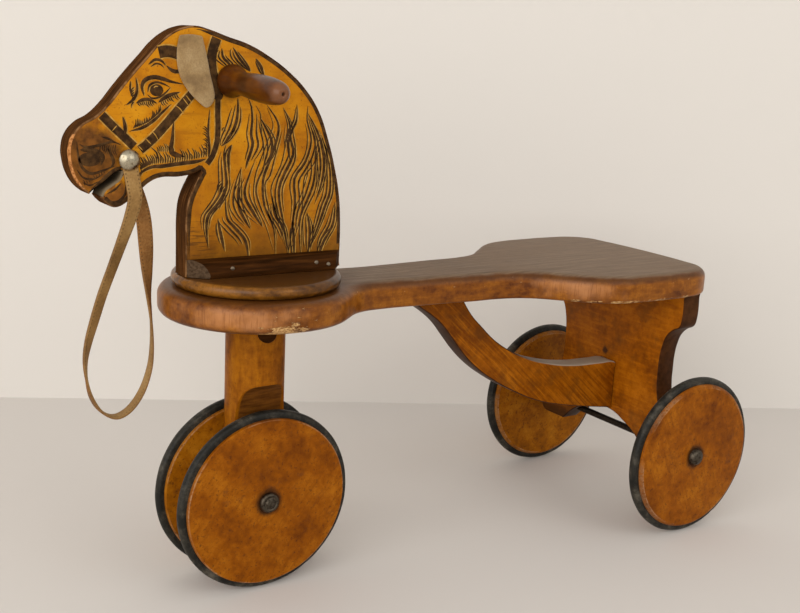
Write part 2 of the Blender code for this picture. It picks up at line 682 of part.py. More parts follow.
def rein_and_tacks(head):
    """The rein, and the domed tack through each of its ends."""
    dome = (
        (0, 4.2), (2.8, 3.8), (5.2, 2.6), (6.7, 1.1), (TACK_RADIUS, 0), (TACK_SHANK_RADIUS, 0),
        (TACK_SHANK_RADIUS, 1.5 - TACK_SHANK_LENGTH), (0, -TACK_SHANK_LENGTH))
    holes = []
    for side, sign in SIDES:
        y = sign * (STRAP_Y + STRAP_THICKNESS / 2 + GAP)
        nickel(turned("rein_tack_" + side, dome, 16, steering, (TACK_X, y, TACK_Z), (0, sign, 0)))
        holes.append(drill(
            "tack_hole_" + side, TACK_SHANK_RADIUS + 0.3, (TACK_X, sign * 1.2, TACK_Z),
            (TACK_X, sign * 20, TACK_Z), steering, 8))
    cut(head, *holes)
    rein_strap(holes)


clear_scene()
parts = collection("horse_tricycle")
cutters = collection("cutters")
rear = axis_empty("rear_axle_line", REAR_AXLE_X)
steering = axis_empty("steering_axis", POST_X)

plank = seat_plank()
brace = curved_brace()
leg = rear_leg_board()
joints_under_the_seat(plank, brace, leg)
rear_running_gear()
front_running_gear()
disc = steering_stack()
head = head_board()
cleats(head, disc)
handles(head)
ears()
rein_and_tacks(head)
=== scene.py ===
"""The looks of the horse tricycle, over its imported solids. The frame is in metres: +X is forward,
+Y is the rider's left and +Z is up. Shapes are worked out in millimetres and turned to metres at the end.
"""

import math

import bmesh
import bpy
import numpy as np
from mathutils import Matrix, Vector


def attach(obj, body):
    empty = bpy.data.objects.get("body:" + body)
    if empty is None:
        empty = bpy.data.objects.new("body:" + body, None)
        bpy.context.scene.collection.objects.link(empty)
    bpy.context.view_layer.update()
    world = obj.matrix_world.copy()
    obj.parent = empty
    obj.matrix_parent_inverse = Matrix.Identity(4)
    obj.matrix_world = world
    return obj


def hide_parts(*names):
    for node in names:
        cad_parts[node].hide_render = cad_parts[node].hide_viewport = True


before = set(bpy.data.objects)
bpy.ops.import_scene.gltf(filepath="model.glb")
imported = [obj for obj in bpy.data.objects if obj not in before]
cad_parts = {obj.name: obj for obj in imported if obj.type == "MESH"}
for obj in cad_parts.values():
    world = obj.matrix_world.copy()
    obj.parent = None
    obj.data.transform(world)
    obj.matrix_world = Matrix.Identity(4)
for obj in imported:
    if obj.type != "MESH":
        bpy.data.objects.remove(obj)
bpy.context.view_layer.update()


# Camera: it stands at the toy's left front, level with the top of the head. Yaw turns it backwards from
# looking straight across the toy, pitch tips it down, and lean rolls it a little about its own view.
CAMERA_PLACE = Vector((0.52053, 0.73570, 0.41291))
YAW, PITCH, LEAN = np.radians((-34.014, -13.331, 2.907))
forward = Vector((
    math.sin(YAW) * math.cos(PITCH), -math.cos(YAW) * math.cos(PITCH), math.sin(PITCH)))
level = forward.cross(Vector((0, 0, 1))).normalized()
upright = level.cross(forward)
across_view = level * math.cos(LEAN) + upright * math.sin(LEAN)
up_view = upright * math.cos(LEAN) - level * math.sin(LEAN)
camera = bpy.data.objects.new("camera", bpy.data.cameras.new("camera"))
camera.data.lens = 51.28
camera.matrix_world = Matrix((
    (*across_view, 0), (*up_view, 0), (*-forward, 0), (0, 0, 0, 1))).transposed()
camera.location = CAMERA_PLACE
bpy.context.scene.collection.objects.link(camera)
bpy.context.scene.camera = camera


# Rein: one flat strap of soft tan leather, pricked along both edges and tacked to the head's two
# sides by its ends. It hangs as a loop in front of the post and turns half over on the far side.
REIN_ROUTE = np.array((
    (0.25345, 0.0108, 0.3305, 0), (0.25105, 0.0108, 0.317, 0), (0.24925, 0.011, 0.307, 2),
    (0.24875, 0.0114, 0.298, 8), (0.25185, 0.0114, 0.2864, 18), (0.25745, 0.0104, 0.2704, 28),
    (0.26355, 0.0088, 0.253, 33), (0.26995, 0.0068, 0.2344, 35), (0.27525, 0.0048, 0.2155, 38),
    (0.27905, 0.0032, 0.2, 46), (0.28065, 0.002, 0.1865, 60), (0.27945, 0.0012, 0.1725, 76),
    (0.27605, 0.0006, 0.16, 88), (0.26945, -0.0002, 0.1496, 92), (0.25925, -0.0012, 0.1438, 93),
    (0.24845, -0.0024, 0.1474, 93), (0.23885, -0.0036, 0.1587, 94), (0.23245, -0.005, 0.1744, 97),
    (0.23015, -0.0062, 0.19, 102), (0.22985, -0.008, 0.2084, 110), (0.23105, -0.0098, 0.227, 124),
    (0.23165, -0.0112, 0.2465, 155), (0.23225, -0.012, 0.2648, 185), (0.23345, -0.0126, 0.2803, 198),
    (0.23645, -0.0126, 0.293, 196), (0.24185, -0.0116, 0.306, 188), (0.24825, -0.0108, 0.317, 180),
    (0.25525, -0.0108, 0.3295, 180)))    # x, y, z in metres, then the strap's turn in degrees
STRAP_WIDTH = 10.5
STRAP_THICKNESS = 2.0
STRAP_STEPS = 300
STRAP_END = 4.0        # the ends are rounded over this length
PRICK_SPACING = 2.6
PRICK_LINE = 0.76      # where the pricks lie, as a share of the half width


def through(points, steps):
    """A smooth line through points (Catmull-Rom): each span is a cubic whose slope at a point is half
    the step from the point before it to the point after it."""
    points = np.asarray(points, float)
    known = np.vstack([2 * points[0] - points[1], points, 2 * points[-1] - points[-2]])
    where = np.linspace(0, len(points) - 1, steps)
    span = np.minimum(where.astype(int), len(points) - 2)
    t = (where - span)[:, None]
    before, start, end, after = (known[span + shift] for shift in range(4))
    return 0.5 * (
        2 * start + (end - before) * t + (2 * before - 5 * start + 4 * end - after) * t ** 2
        + (3 * start - before - 3 * end + after) * t ** 3)


def unit(vectors):
    """Each vector divided by its own length."""
    return vectors / np.maximum(np.linalg.norm(vectors, axis=-1, keepdims=True), 1e-12)


def grid_faces(rows, columns, loop_rows=False, loop_columns=True):
    """Quads between neighbouring rows and columns of a grid of points, which may close on itself."""
    row, column = np.mgrid[:rows - (not loop_rows), :columns - (not loop_columns)]
    corners = [
        (row + down) % rows * columns + (column + beside) % columns
        for down, beside in ((0, 0), (0, 1), (1, 1), (1, 0))]
    return np.stack(corners, -1).reshape(-1, 4).tolist()


def capped(points):
    """The faces of a tube of points, whose rows run round it, with one face over each end."""
    rows, columns = points.shape[:2]
    ends = [list(range(columns))[::-1], list(range((rows - 1) * columns, rows * columns))]
    return grid_faces(rows, columns) + ends


def make(name, points, faces, *finishes, closed=True, marks=None, crease=32):
    """A mesh object from points in millimetres. A closed one has its doubles merged and its faces
    turned outwards. marks are numbers, spread over the grid of points, that a finish reads by name."""
    mesh = bpy.data.meshes.new(name)
    mesh.from_pydata((points.reshape(-1, 3) * 0.001).tolist(), [], faces)
    for title, values in (marks or {}).items():
        layer = mesh.attributes.new(title, "FLOAT", "POINT")
        layer.data.foreach_set("value", np.broadcast_to(values, points.shape[:-1]).astype(np.float32).ravel())
    if closed:
        shell = bmesh.new()
        shell.from_mesh(mesh)
        bmesh.ops.remove_doubles(shell, verts=shell.verts, dist=0.000004)
        bmesh.ops.recalc_face_normals(shell, faces=shell.faces)
        shell.to_mesh(mesh)
        shell.free()
    corners = np.zeros(len(mesh.polygons), np.int32)
    mesh.polygons.foreach_get("loop_total", corners)
    mesh.polygons.foreach_set("use_smooth", corners < 5)
    mesh.set_sharp_from_angle(angle=math.radians(crease))
    for finish in finishes:
        mesh.materials.append(finish)
    made = bpy.data.objects.new(name, mesh)
    bpy.context.scene.collection.objects.link(made)
    return made


def fit(piece, body, slot, *stands_for):
    """Ride on a body and stand for the solids named. The slot is not used."""
    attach(piece, body)
    if stands_for:
        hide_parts(*stands_for)


def new_finish(name, roughness=0.5, specular=0.5, **more):
    """A material with its shader's plain numbers set. Sockets are named with underscores for spaces."""
    finish = bpy.data.materials.new(name)
    finish.use_nodes = True
    shader = finish.node_tree.nodes["Principled BSDF"]
    plain = {"Roughness": roughness, "Specular_IOR_Level": specular, **more}
    for socket, value in plain.items():
        shader.inputs[socket.replace("_", " ")].default_value = value
    return finish


def finished(finish, **sockets):
    """Join outputs to the shader's sockets, which are named in the same way."""
    tree = finish.node_tree
    for socket, value in sockets.items():
        tree.links.new(value, tree.nodes["Principled BSDF"].inputs[socket.replace("_", " ")])
    return finish


def node(kind, output=0, inputs=(), finish=None, **settings):
    """Add a node to a finish, or to the one that its joined inputs belong to. Its inputs are set or
    joined by name or number. Returns one of its outputs."""
    inputs = dict(inputs)
    joined = [key for key, value in inputs.items() if isinstance(value, bpy.types.NodeSocket)]
    tree = finish.node_tree if finish else inputs[joined[0]].id_data
    made = tree.nodes.new("ShaderNode" + kind)
    for key, value in settings.items():
        setattr(made, key, value)
    for key, value in inputs.items():
        if key in joined:
            tree.links.new(value, made.inputs[key])
        else:
            made.inputs[key].default_value = value
    return made.outputs[output]


def mark(finish, name):
    """The numbers that a piece's points carry under a name."""
    return node("Attribute", "Fac", finish=finish, attribute_name=name, attribute_type="GEOMETRY")


def place(finish, stretch=(1, 1, 1), turn=(0, 0, 0), shift=(0, 0, 0)):
    """The piece's own coordinates in metres: turned back by the angles, then stretched, then shifted."""
    here = node("TexCoord", "Object", finish=finish)
    inputs = {
        "Vector": here, "Rotation": turn, "Scale": [1 / k for k in stretch],
        "Location": [-s / k for s, k in zip(shift, stretch)]}
    return node("Mapping", inputs=inputs, vector_type="TEXTURE")


def noise(vector, scale, detail=3.0, rough=0.55):
    """Fractal noise about 0.5, with as many cells to a unit of the vector as the scale says."""
    inputs = {"Vector": vector, "Scale": scale, "Detail": detail, "Roughness": rough}
    return node("TexNoise", inputs=inputs)


def plus(a, b):
    """a + b."""
    return node("Math", inputs={0: a, 1: b}, operation="ADD")


def minus(a, b):
    """a - b."""
    return node("Math", inputs={0: a, 1: b}, operation="SUBTRACT")


def times(a, b):
    """a x b."""
    return node("Math", inputs={0: a, 1: b}, operation="MULTIPLY")


def positive(a):
    """a without its sign."""
    return node("Math", inputs={0: a}, operation="ABSOLUTE")


def between(value, low, high, bottom=0.0, top=1.0):
    """A smooth step: bottom below low, and top above high."""
    inputs = {"Value": value, "From Min": low, "From Max": high, "To Min": bottom, "To Max": top}
    return node("MapRange", inputs=inputs, interpolation_type="SMOOTHSTEP")


def blend(share, a, b):
    """Colour b over colour a by a share."""
    a, b = ((*c, 1.0) if isinstance(c, tuple) else c for c in (a, b))
    return node("Mix", 2, {0: share, 6: a, 7: b}, data_type="RGBA")


def tones(value, *stops):
    """A ramp from value to colour."""
    output = node("ValToRGB", inputs={0: value})
    bands = output.node.color_ramp.elements
    while len(bands) < len(stops):
        bands.new(0.5)
    for band, (position, colour) in zip(bands, stops):
        band.position = position
        band.color = (*colour, 1.0)
    return output


def bump(height, depth):
    """Raise the surface by height times a depth in metres."""
    return node("Bump", inputs={"Height": height, "Distance": depth, "Strength": 1.0})


def rein_leather():
    """Tan outside and browner inside, with a fine grain, rubbed patches and pricked dots by the edges."""
    finish = new_finish("rein_leather", roughness=0.7, specular=0.2)
    here = place(finish)
    patches = noise(here, 45, 4)
    fibres = noise(here, 700, 3)
    side = between(mark(finish, "outer"), -0.1, 0.1)
    outside = tones(
        patches, (0.3, (0.16, 0.078, 0.021)), (0.5, (0.29, 0.155, 0.046)), (0.72, (0.40, 0.24, 0.085)))
    inside = tones(patches, (0.3, (0.12, 0.042, 0.007)), (0.6, (0.29, 0.112, 0.022)))
    colour = blend(side, inside, outside)
    along = node("Math", inputs={0: times(mark(finish, "along"), 1 / PRICK_SPACING)}, operation="FRACT")
    dash = between(positive(minus(along, 0.5)), 0.16, 0.24, 1.0, 0.0)
    off_line = positive(minus(positive(mark(finish, "across")), PRICK_LINE))
    pricks = times(dash, between(off_line, 0.05, 0.10, 1.0, 0.0))
    rim = between(positive(mark(finish, "across")), 0.9, 1.0)
    colour = blend(times(pricks, 0.7), colour, (0.045, 0.018, 0.008))
    colour = blend(times(rim, 0.45), colour, (0.10, 0.048, 0.02))
    colour = blend(0.25, colour, tones(fibres, (0.3, (0.1, 0.05, 0.014)), (0.7, (0.42, 0.26, 0.095))))
    return finished(finish, Base_Color=colour, Normal=bump(minus(fibres, times(pricks, 1.4)), 0.00018))


def swept(path, across, facing, half_width, half_thickness, section):
    """A section carried along a path: point (i, j) = path i + across i x width x section j's first
    number + facing i x thickness x its second."""
    half_width = np.broadcast_to(half_width, len(path))[:, None, None]
    half_thickness = np.broadcast_to(half_thickness, len(path))[:, None, None]
    wide = across[:, None] * half_width * section[None, :, :1]
    thick = facing[:, None] * half_thickness * section[None, :, 1:]
    return path[:, None] + wide + thick


def soft_oblong(count, squareness):
    """A closed oblong with rounded corners: powers of the cosine and sine of an angle."""
    angle = np.linspace(0, 2 * math.pi, count, endpoint=False) + math.pi / count
    wide, thick = np.cos(angle), np.sin(angle)
    return np.stack([
        np.sign(wide) * np.abs(wide) ** squareness, np.sign(thick) * np.abs(thick) ** squareness], 1)


route = through(REIN_ROUTE, STRAP_STEPS)
path = route[:, :3] * 1000
along = unit(np.gradient(path, axis=0))
flat = unit(np.cross(along, (0, 1, 0)))
turned_in = np.cross(flat, along)
turn = np.radians(route[:, 3:])
across = flat * np.cos(turn) + turned_in * np.sin(turn)
facing = np.cross(across, along)
travelled = np.concatenate([[0], np.cumsum(np.linalg.norm(np.diff(path, axis=0), axis=1))])
from_end = np.minimum(travelled, travelled[-1] - travelled)
rounding = np.sqrt(np.clip(1 - (1 - np.clip(from_end / STRAP_END, 0, 1)) ** 2, 0.05, 1))
section = soft_oblong(24, 0.4)
strap = swept(path, across, facing, STRAP_WIDTH / 2 * rounding, STRAP_THICKNESS / 2, section)
rein = make(
    "rein", strap, capped(strap), rein_leather(), crease=60,
    marks={"outer": section[:, 1], "across": section[:, 0], "along": travelled[:, None]})
fit(rein, "steering", "tan_leather", "rein_strap")


# Head: a flat board sawn to a horse's head, varnished golden, with its sawn edge stained dark.
# It stands on the disc between two cleats. The near side of the nose is rubbed to bare wood.
POST_X = 151.85      # the steering post's axis, from which the head's outline is measured
BOARD_HALF = 9.5
HEAD_BOTTOM = 242.3
HEAD_ROUND = 1.3
NEAR_STRIP = 2.6     # how far the nose's rubbed strip reaches from the near face
NECK_FRONT = ((59.6, 265), (59.4, 284), (58.2, 294), (55.2, 302.5), (51.0, 310.5))
THROAT = ((47.5, 317.5),)
JAW = (
    (54.5, 314.4), (64, 312.7), (78, 312.3), (85, 309.7), (93, 303.3), (101, 296.8), (108, 293.4),
    (112.5, 294), (116.5, 296.8))
LOWER_LIP = ((119.4, 300.2),)
MOUTH = ((117, 305), (111.5, 309), (106.4, 313), (105.6, 317.3), (111, 315), (119, 309.6))
UPPER_LIP = ((127.1, 302.8),)
NOSE = (
    (132.5, 307.5), (137.2, 315.3), (139.7, 325), (140, 331.5), (137.6, 340.5), (131, 348.2),
    (122.5, 353))
FOREHEAD = ((114, 360.8), (105.3, 371.5), (96, 382.4), (87, 392.2), (78, 402), (69, 408.6))
CROWN = ((62, 411.6), (53, 413), (43, 411), (30, 407), (14, 402.4))
MANE_BACK = (
    (-2, 394.8), (-18, 384.5), (-32, 372), (-43, 357), (-51.5, 336.5), (-57.8, 316), (-62.2, 296),
    (-64.1, 276))


def knots(*runs):
    """An outline's points with a third number: 1 where the line runs smoothly on, 0 at a corner."""
    return np.array([(x, y, smooth) for smooth, points in runs for x, y in points], float)


def traced(outline, steps):
    """A closed line through an outline's points: a cubic Bezier between each two. A smooth point's
    handles lie along the sum of the unit steps on its two sides, each 0.39 times its step long, and a
    corner's handles lie a third of the way to its neighbours."""
    here, smooth = outline[:, :2], outline[:, 2:]
    arriving, leaving = here - np.roll(here, 1, 0), np.roll(here, -1, 0) - here
    back = np.linalg.norm(arriving, axis=1, keepdims=True)
    ahead = np.linalg.norm(leaving, axis=1, keepdims=True)
    slope = arriving / back + leaving / ahead
    slope /= np.linalg.norm(slope, axis=1, keepdims=True) * 2.5614
    first = np.where(smooth > 0, here + slope * ahead, here + leaving / 3)
    second = np.roll(np.where(smooth > 0, here - slope * back, here - arriving / 3), -1, 0)
    t = np.linspace(0, 1, steps, endpoint=False)[None, :, None]
    start, first, second, end = (a[:, None] for a in (here, first, second, np.roll(here, -1, 0)))
    line = (
        start * (1 - t) ** 3 + 3 * first * t * (1 - t) ** 2 + 3 * second * t ** 2 * (1 - t) + end * t ** 3)
    return line.reshape(-1, 2)


def inward(ring, width):
    """Steps from a closed line into the board, each up to width long. Beside a sharp corner a step is
    shortened until its end is no nearer to the rest of the line than its own length."""
    slope = unit(np.roll(ring, -1, 0) - np.roll(ring, 1, 0))
    area = np.sum(ring[:, 0] * np.roll(ring[:, 1], -1) - np.roll(ring[:, 0], -1) * ring[:, 1])
    normal = np.stack([-slope[:, 1], slope[:, 0]], 1) * np.sign(area)
    depth = np.broadcast_to(np.asarray(width, float), len(ring)).copy()
    start, span = ring[None], (np.roll(ring, -1, 0) - ring)[None]
    for _ in range(12):
        ends = (ring + normal * depth[:, None])[:, None]
        share = np.clip(np.sum((ends - start) * span, -1) / np.sum(span ** 2, -1), 0, 1)
        nearest = np.linalg.norm(ends - start - span * share[..., None], axis=-1).min(1)
        depth = np.minimum(depth, (depth + nearest) / 2)
    return normal * depth[:, None]


def board_skin(ring, half, over, under, steps):
    """A board's side wall with its two edges rounded over: rows of the outline. Each edge is a quarter
    circle from the face, where the row lies a full step inside the outline, to the wall."""
    angle = np.linspace(math.pi / 2, 0, steps)
    over, under = (np.broadcast_to(np.asarray(r, float), len(ring)) for r in (over, under))
    into = (inward(ring, over), inward(ring, under))
    rows = []
    for step, radius, sign in ((into[0], over, 1), (into[1], under, -1)):
        flat = ring[None] + step[None] * (1 - np.cos(angle))[:, None, None]
        height = sign * (half - radius[None] * (1 - np.sin(angle)[:, None]))
        rows.append(np.concatenate([flat, height[..., None]], -1))
    return np.concatenate([rows[0], rows[1][::-1]])


def stood_along(skin, x):
    """Turn a board so that its outline is seen from the side, and move it forward by x."""
    return np.stack([skin[..., 0] + x, skin[..., 2], skin[..., 1]], -1)


def coordinate(finish, axis):
    """One of the piece's own coordinates, in metres."""
    return node("SeparateXYZ", axis, {"Vector": place(finish)})


def off_line_across(here, x, z):
    """The distance in metres from a line that crosses the toy at x and z millimetres."""
    beside = node("VectorMath", 0, {0: here, 1: (1, 0, 1)}, operation="MULTIPLY")
    return node("VectorMath", "Value", {0: beside, 1: (x * 0.001, 0, z * 0.001)}, operation="DISTANCE")


def ragged(here, scale, amount, detail=4, rough=0.55):
    """Noise on both sides of zero, which makes the border between two finishes uneven."""
    return times(minus(noise(here, scale, detail, rough), 0.5), amount)


HEAD_SHADES = (    # x, z, where each shade begins and ends to fade, and its strength
    (127, 326, 0.014, 0.031, 0.94), (109, 300, 0.006, 0.014, 0.95), (36, 372, 0.004, 0.016, 0.6))


def head_finish():
    """Amber varnish over pale wood: lengthwise streaks and small brown flecks, with brown shading on the
    muzzle and the chin, and darker about the handles and towards the foot."""
    finish = new_finish("head_varnish", roughness=0.45, specular=0.1)
    here = place(finish)
    streaks = noise(place(finish, (30, 30, 260)), 1, 4)
    cloud = noise(here, 34, 5, 0.6)
    flecks = noise(here, 520, 3)
    colour = tones(
        cloud, (0.32, (0.33, 0.105, 0.002)), (0.5, (0.50, 0.185, 0.002)), (0.70, (0.60, 0.255, 0.006)))
    colour = blend(between(streaks, 0.54, 0.72, 0.0, 0.6), colour, (0.34, 0.115, 0.003))
    colour = blend(between(noise(here, 190, 5, 0.7), 0.56, 0.72, 0.0, 0.55), colour, (0.25, 0.066, 0.003))
    colour = blend(between(flecks, 0.60, 0.72, 0.0, 0.7), colour, (0.16, 0.038, 0.003))
    rough_edge = ragged(here, 120, 0.03)
    mottle = tones(noise(here, 170, 4), (0.35, (0.044, 0.017, 0.005)), (0.64, (0.175, 0.062, 0.011)))
    for x, z, inner, outer, strength in HEAD_SHADES:
        away = plus(off_line_across(here, POST_X + x, z), rough_edge)
        colour = blend(between(away, inner, outer, strength, 0.0), colour, mottle)
    level = plus(coordinate(finish, "Z"), rough_edge)
    # Darker towards the foot, most of all close above the cleats.
    colour = blend(between(level, 0.26, 0.36, 0.50, 0.0), colour, (0.24, 0.078, 0.006))
    colour = blend(between(level, 0.248, 0.282, 0.70, 0.0), colour, (0.085, 0.032, 0.006))
    scratches = between(noise(place(finish, (55, 55, 1100)), 1, 3), 0.52, 0.62)
    near_neck = times(
        between(coordinate(finish, "X"), 0.182, 0.200), between(level, 0.268, 0.292, 0.65, 0.0))
    colour = blend(times(scratches, near_neck), colour, (0.060, 0.024, 0.006))
    return finished(finish, Base_Color=colour, Normal=bump(plus(streaks, times(flecks, 0.6)), 0.00010))


def head_edge_finish():
    """The sawn edge: dark brown stain with saw lines that run round it. Where marks say so it is worn to
    light brown, rubbed to pale wood or covered in grey dust, and inside the mouth's slot it is near black,
    painted shade."""
    finish = new_finish("head_edge", roughness=0.7, specular=0.0)
    lines = node("CombineXYZ", inputs={0: times(mark(finish, "round"), 0.02), 1: mark(finish, "level")})
    saw = noise(lines, 1.3, 4)
    here = place(finish)
    blotch = noise(here, 60, 4)
    colour = tones(
        saw, (0.34, (0.020, 0.008, 0.003)), (0.50, (0.070, 0.027, 0.008)), (0.68, (0.18, 0.072, 0.022)))
    colour = blend(between(blotch, 0.40, 0.66, 0.0, 0.6), colour, (0.044, 0.019, 0.008))
    worn = between(noise(here, 110, 5), 0.40, 0.62, 0.10, 0.75)
    colour = blend(times(mark(finish, "worn"), worn), colour, (0.33, 0.17, 0.070))
    # Painted shade: near black inside the mouth's slot.
    colour = blend(mark(finish, "slot_shade"), colour, (0.008, 0.005, 0.003))
    colour = blend(mark(finish, "dusty"), colour, (0.22, 0.165, 0.100))
    bare = between(plus(mark(finish, "bare"), ragged(here, 330, 1.3, 5, 0.65)), 0.38, 0.66)
    bare_wood = tones(noise(here, 420, 3), (0.38, (0.22, 0.075, 0.018)), (0.56, (0.54, 0.235, 0.080)))
    return finished(finish, Base_Color=blend(bare, colour, bare_wood), Normal=bump(saw, 0.00022))


head_outline = knots(
    (0, ((59.5, HEAD_BOTTOM),)), (1, NECK_FRONT), (0, THROAT), (1, JAW), (0, LOWER_LIP), (1, MOUTH),
    (0, UPPER_LIP), (1, NOSE + FOREHEAD + CROWN + MANE_BACK), (0, ((-64.3, HEAD_BOTTOM),)))
KNOT_STEPS = 8       # points of the ring to each point of the outline
EDGE_ROWS = 5        # rows round each rounded edge
head_ring = traced(head_outline, KNOT_STEPS)
skin = board_skin(head_ring, BOARD_HALF, HEAD_ROUND, HEAD_ROUND, EDGE_ROWS)
mid_wall = skin[EDGE_ROWS - 1] * (1, 1, 0) + (0, 0, 4.9)    # one row more on the wall's near half
skin = np.insert(skin, EDGE_ROWS, mid_wall, axis=0)
round_length = np.cumsum(np.linalg.norm(np.diff(head_ring, axis=0, append=head_ring[:1]), axis=1))
forward_of, above, toward = head_ring[:, 0], head_ring[:, 1], skin[..., 2]
nose_front = np.exp(-((above - 324) / 19) ** 4) * (forward_of > 124)
arris = 0.9 * (above > 335) * (forward_of > 55) + 0.8 * (forward_of > 40) * (above < 312)
on_arris = (toward > BOARD_HALF - HEAD_ROUND + 0.1) & (toward < BOARD_HALF - 0.02)
lip_at = KNOT_STEPS * (1 + len(NECK_FRONT) + len(THROAT) + len(JAW))
along_ring = np.arange(len(head_ring))
in_mouth = (along_ring >= lip_at + 2) & (along_ring < lip_at + KNOT_STEPS * (1 + len(MOUTH)))
lower_side = in_mouth & (along_ring < lip_at + KNOT_STEPS * 4)
head = make(
    "head", stood_along(skin, POST_X), capped(skin), head_edge_finish(), head_finish(), marks={
        "round": round_length, "level": toward, "bare": nose_front * (toward > BOARD_HALF - NEAR_STRIP),
        "worn": arris * on_arris, "slot_shade": in_mouth, "dusty": lower_side * np.clip(toward / 8, 0, 0.8)})
for face in head.data.polygons:
    face.material_index = int(len(face.vertices) > 4)
fit(head, "steering", "printed_wood", "head_board")


# Print: the horse's face, bridle and mane, pressed into both sides of the head in dark brown ink.
# Each line is a thin raised film. A narrow pale film beside one side of most lines is a painted highlight,
# where light catches the pressed edge.
SIDES = (("left", 1.0), ("right", -1.0))
INK_LIFT = 0.16
PALE_LIFT = 0.08
EDGE_LIFT = 0.06
BUCKLE_LIFT = 0.24
LINE_STEPS = 22


def film(lines, widths, lift):
    """Flat lines on the head's near side: each is swept along its smooth path with a low four-point
    section whose edges lie just under the wood's face. Lines that cross differ a little in height."""
    section = np.array(((-1, -0.05), (-0.82, 1), (0.82, 1), (1, -0.05)))
    points, faces = [], []
    for number, (line, width) in enumerate(zip(lines, widths)):
        steps = len(width)
        way = through(line, steps)
        height = lift * (1 + 0.03 * (number % 7))
        path = np.stack([way[:, 0] + POST_X, np.full(steps, BOARD_HALF), way[:, 1]], 1)
        sideways = np.cross(unit(np.gradient(path, axis=0)), (0, 1, 0))
        faces += (np.array(grid_faces(steps, 4, loop_columns=False)) + 4 * steps * len(points)).tolist()
        points.append(swept(path, sideways, np.tile((0.0, 1.0, 0.0), (steps, 1)), width / 2, height, section))
    return np.concatenate(points).reshape(-1, 3), faces


def on_both_sides(name, points, faces, finish):
    """The same film on the head's two faces."""
    for side, sign in SIDES:
        turned = faces if sign < 0 else [face[::-1] for face in faces]
        lines = make(name + "_" + side, points * (1, sign, 1), turned, finish, closed=False, crease=60)
        fit(lines, "steering", "printed_wood")


def tapered(width, fullest=0.5):
    """A line's width along it: nothing at its ends and full at one place between them."""
    t = np.linspace(0, 1, LINE_STEPS)
    t = np.where(t < fullest, t / fullest, (1 - t) / (1 - fullest))
    return width * np.maximum(np.sin(t * math.pi / 2) ** 0.6, 0.06)


def ink(name, dark, light):
    """Ink that has sunk unevenly: two close tones in small patches."""
    finish = new_finish(name, specular=0.06)
    return finished(finish, Base_Color=tones(noise(place(finish), 240, 3), (0.38, dark), (0.68, light)))


brown_ink = ink("brown_ink", (0.030, 0.014, 0.005), (0.088, 0.042, 0.013))
pale_line = ink("pale_line", (0.34, 0.17, 0.028), (0.56, 0.31, 0.065))

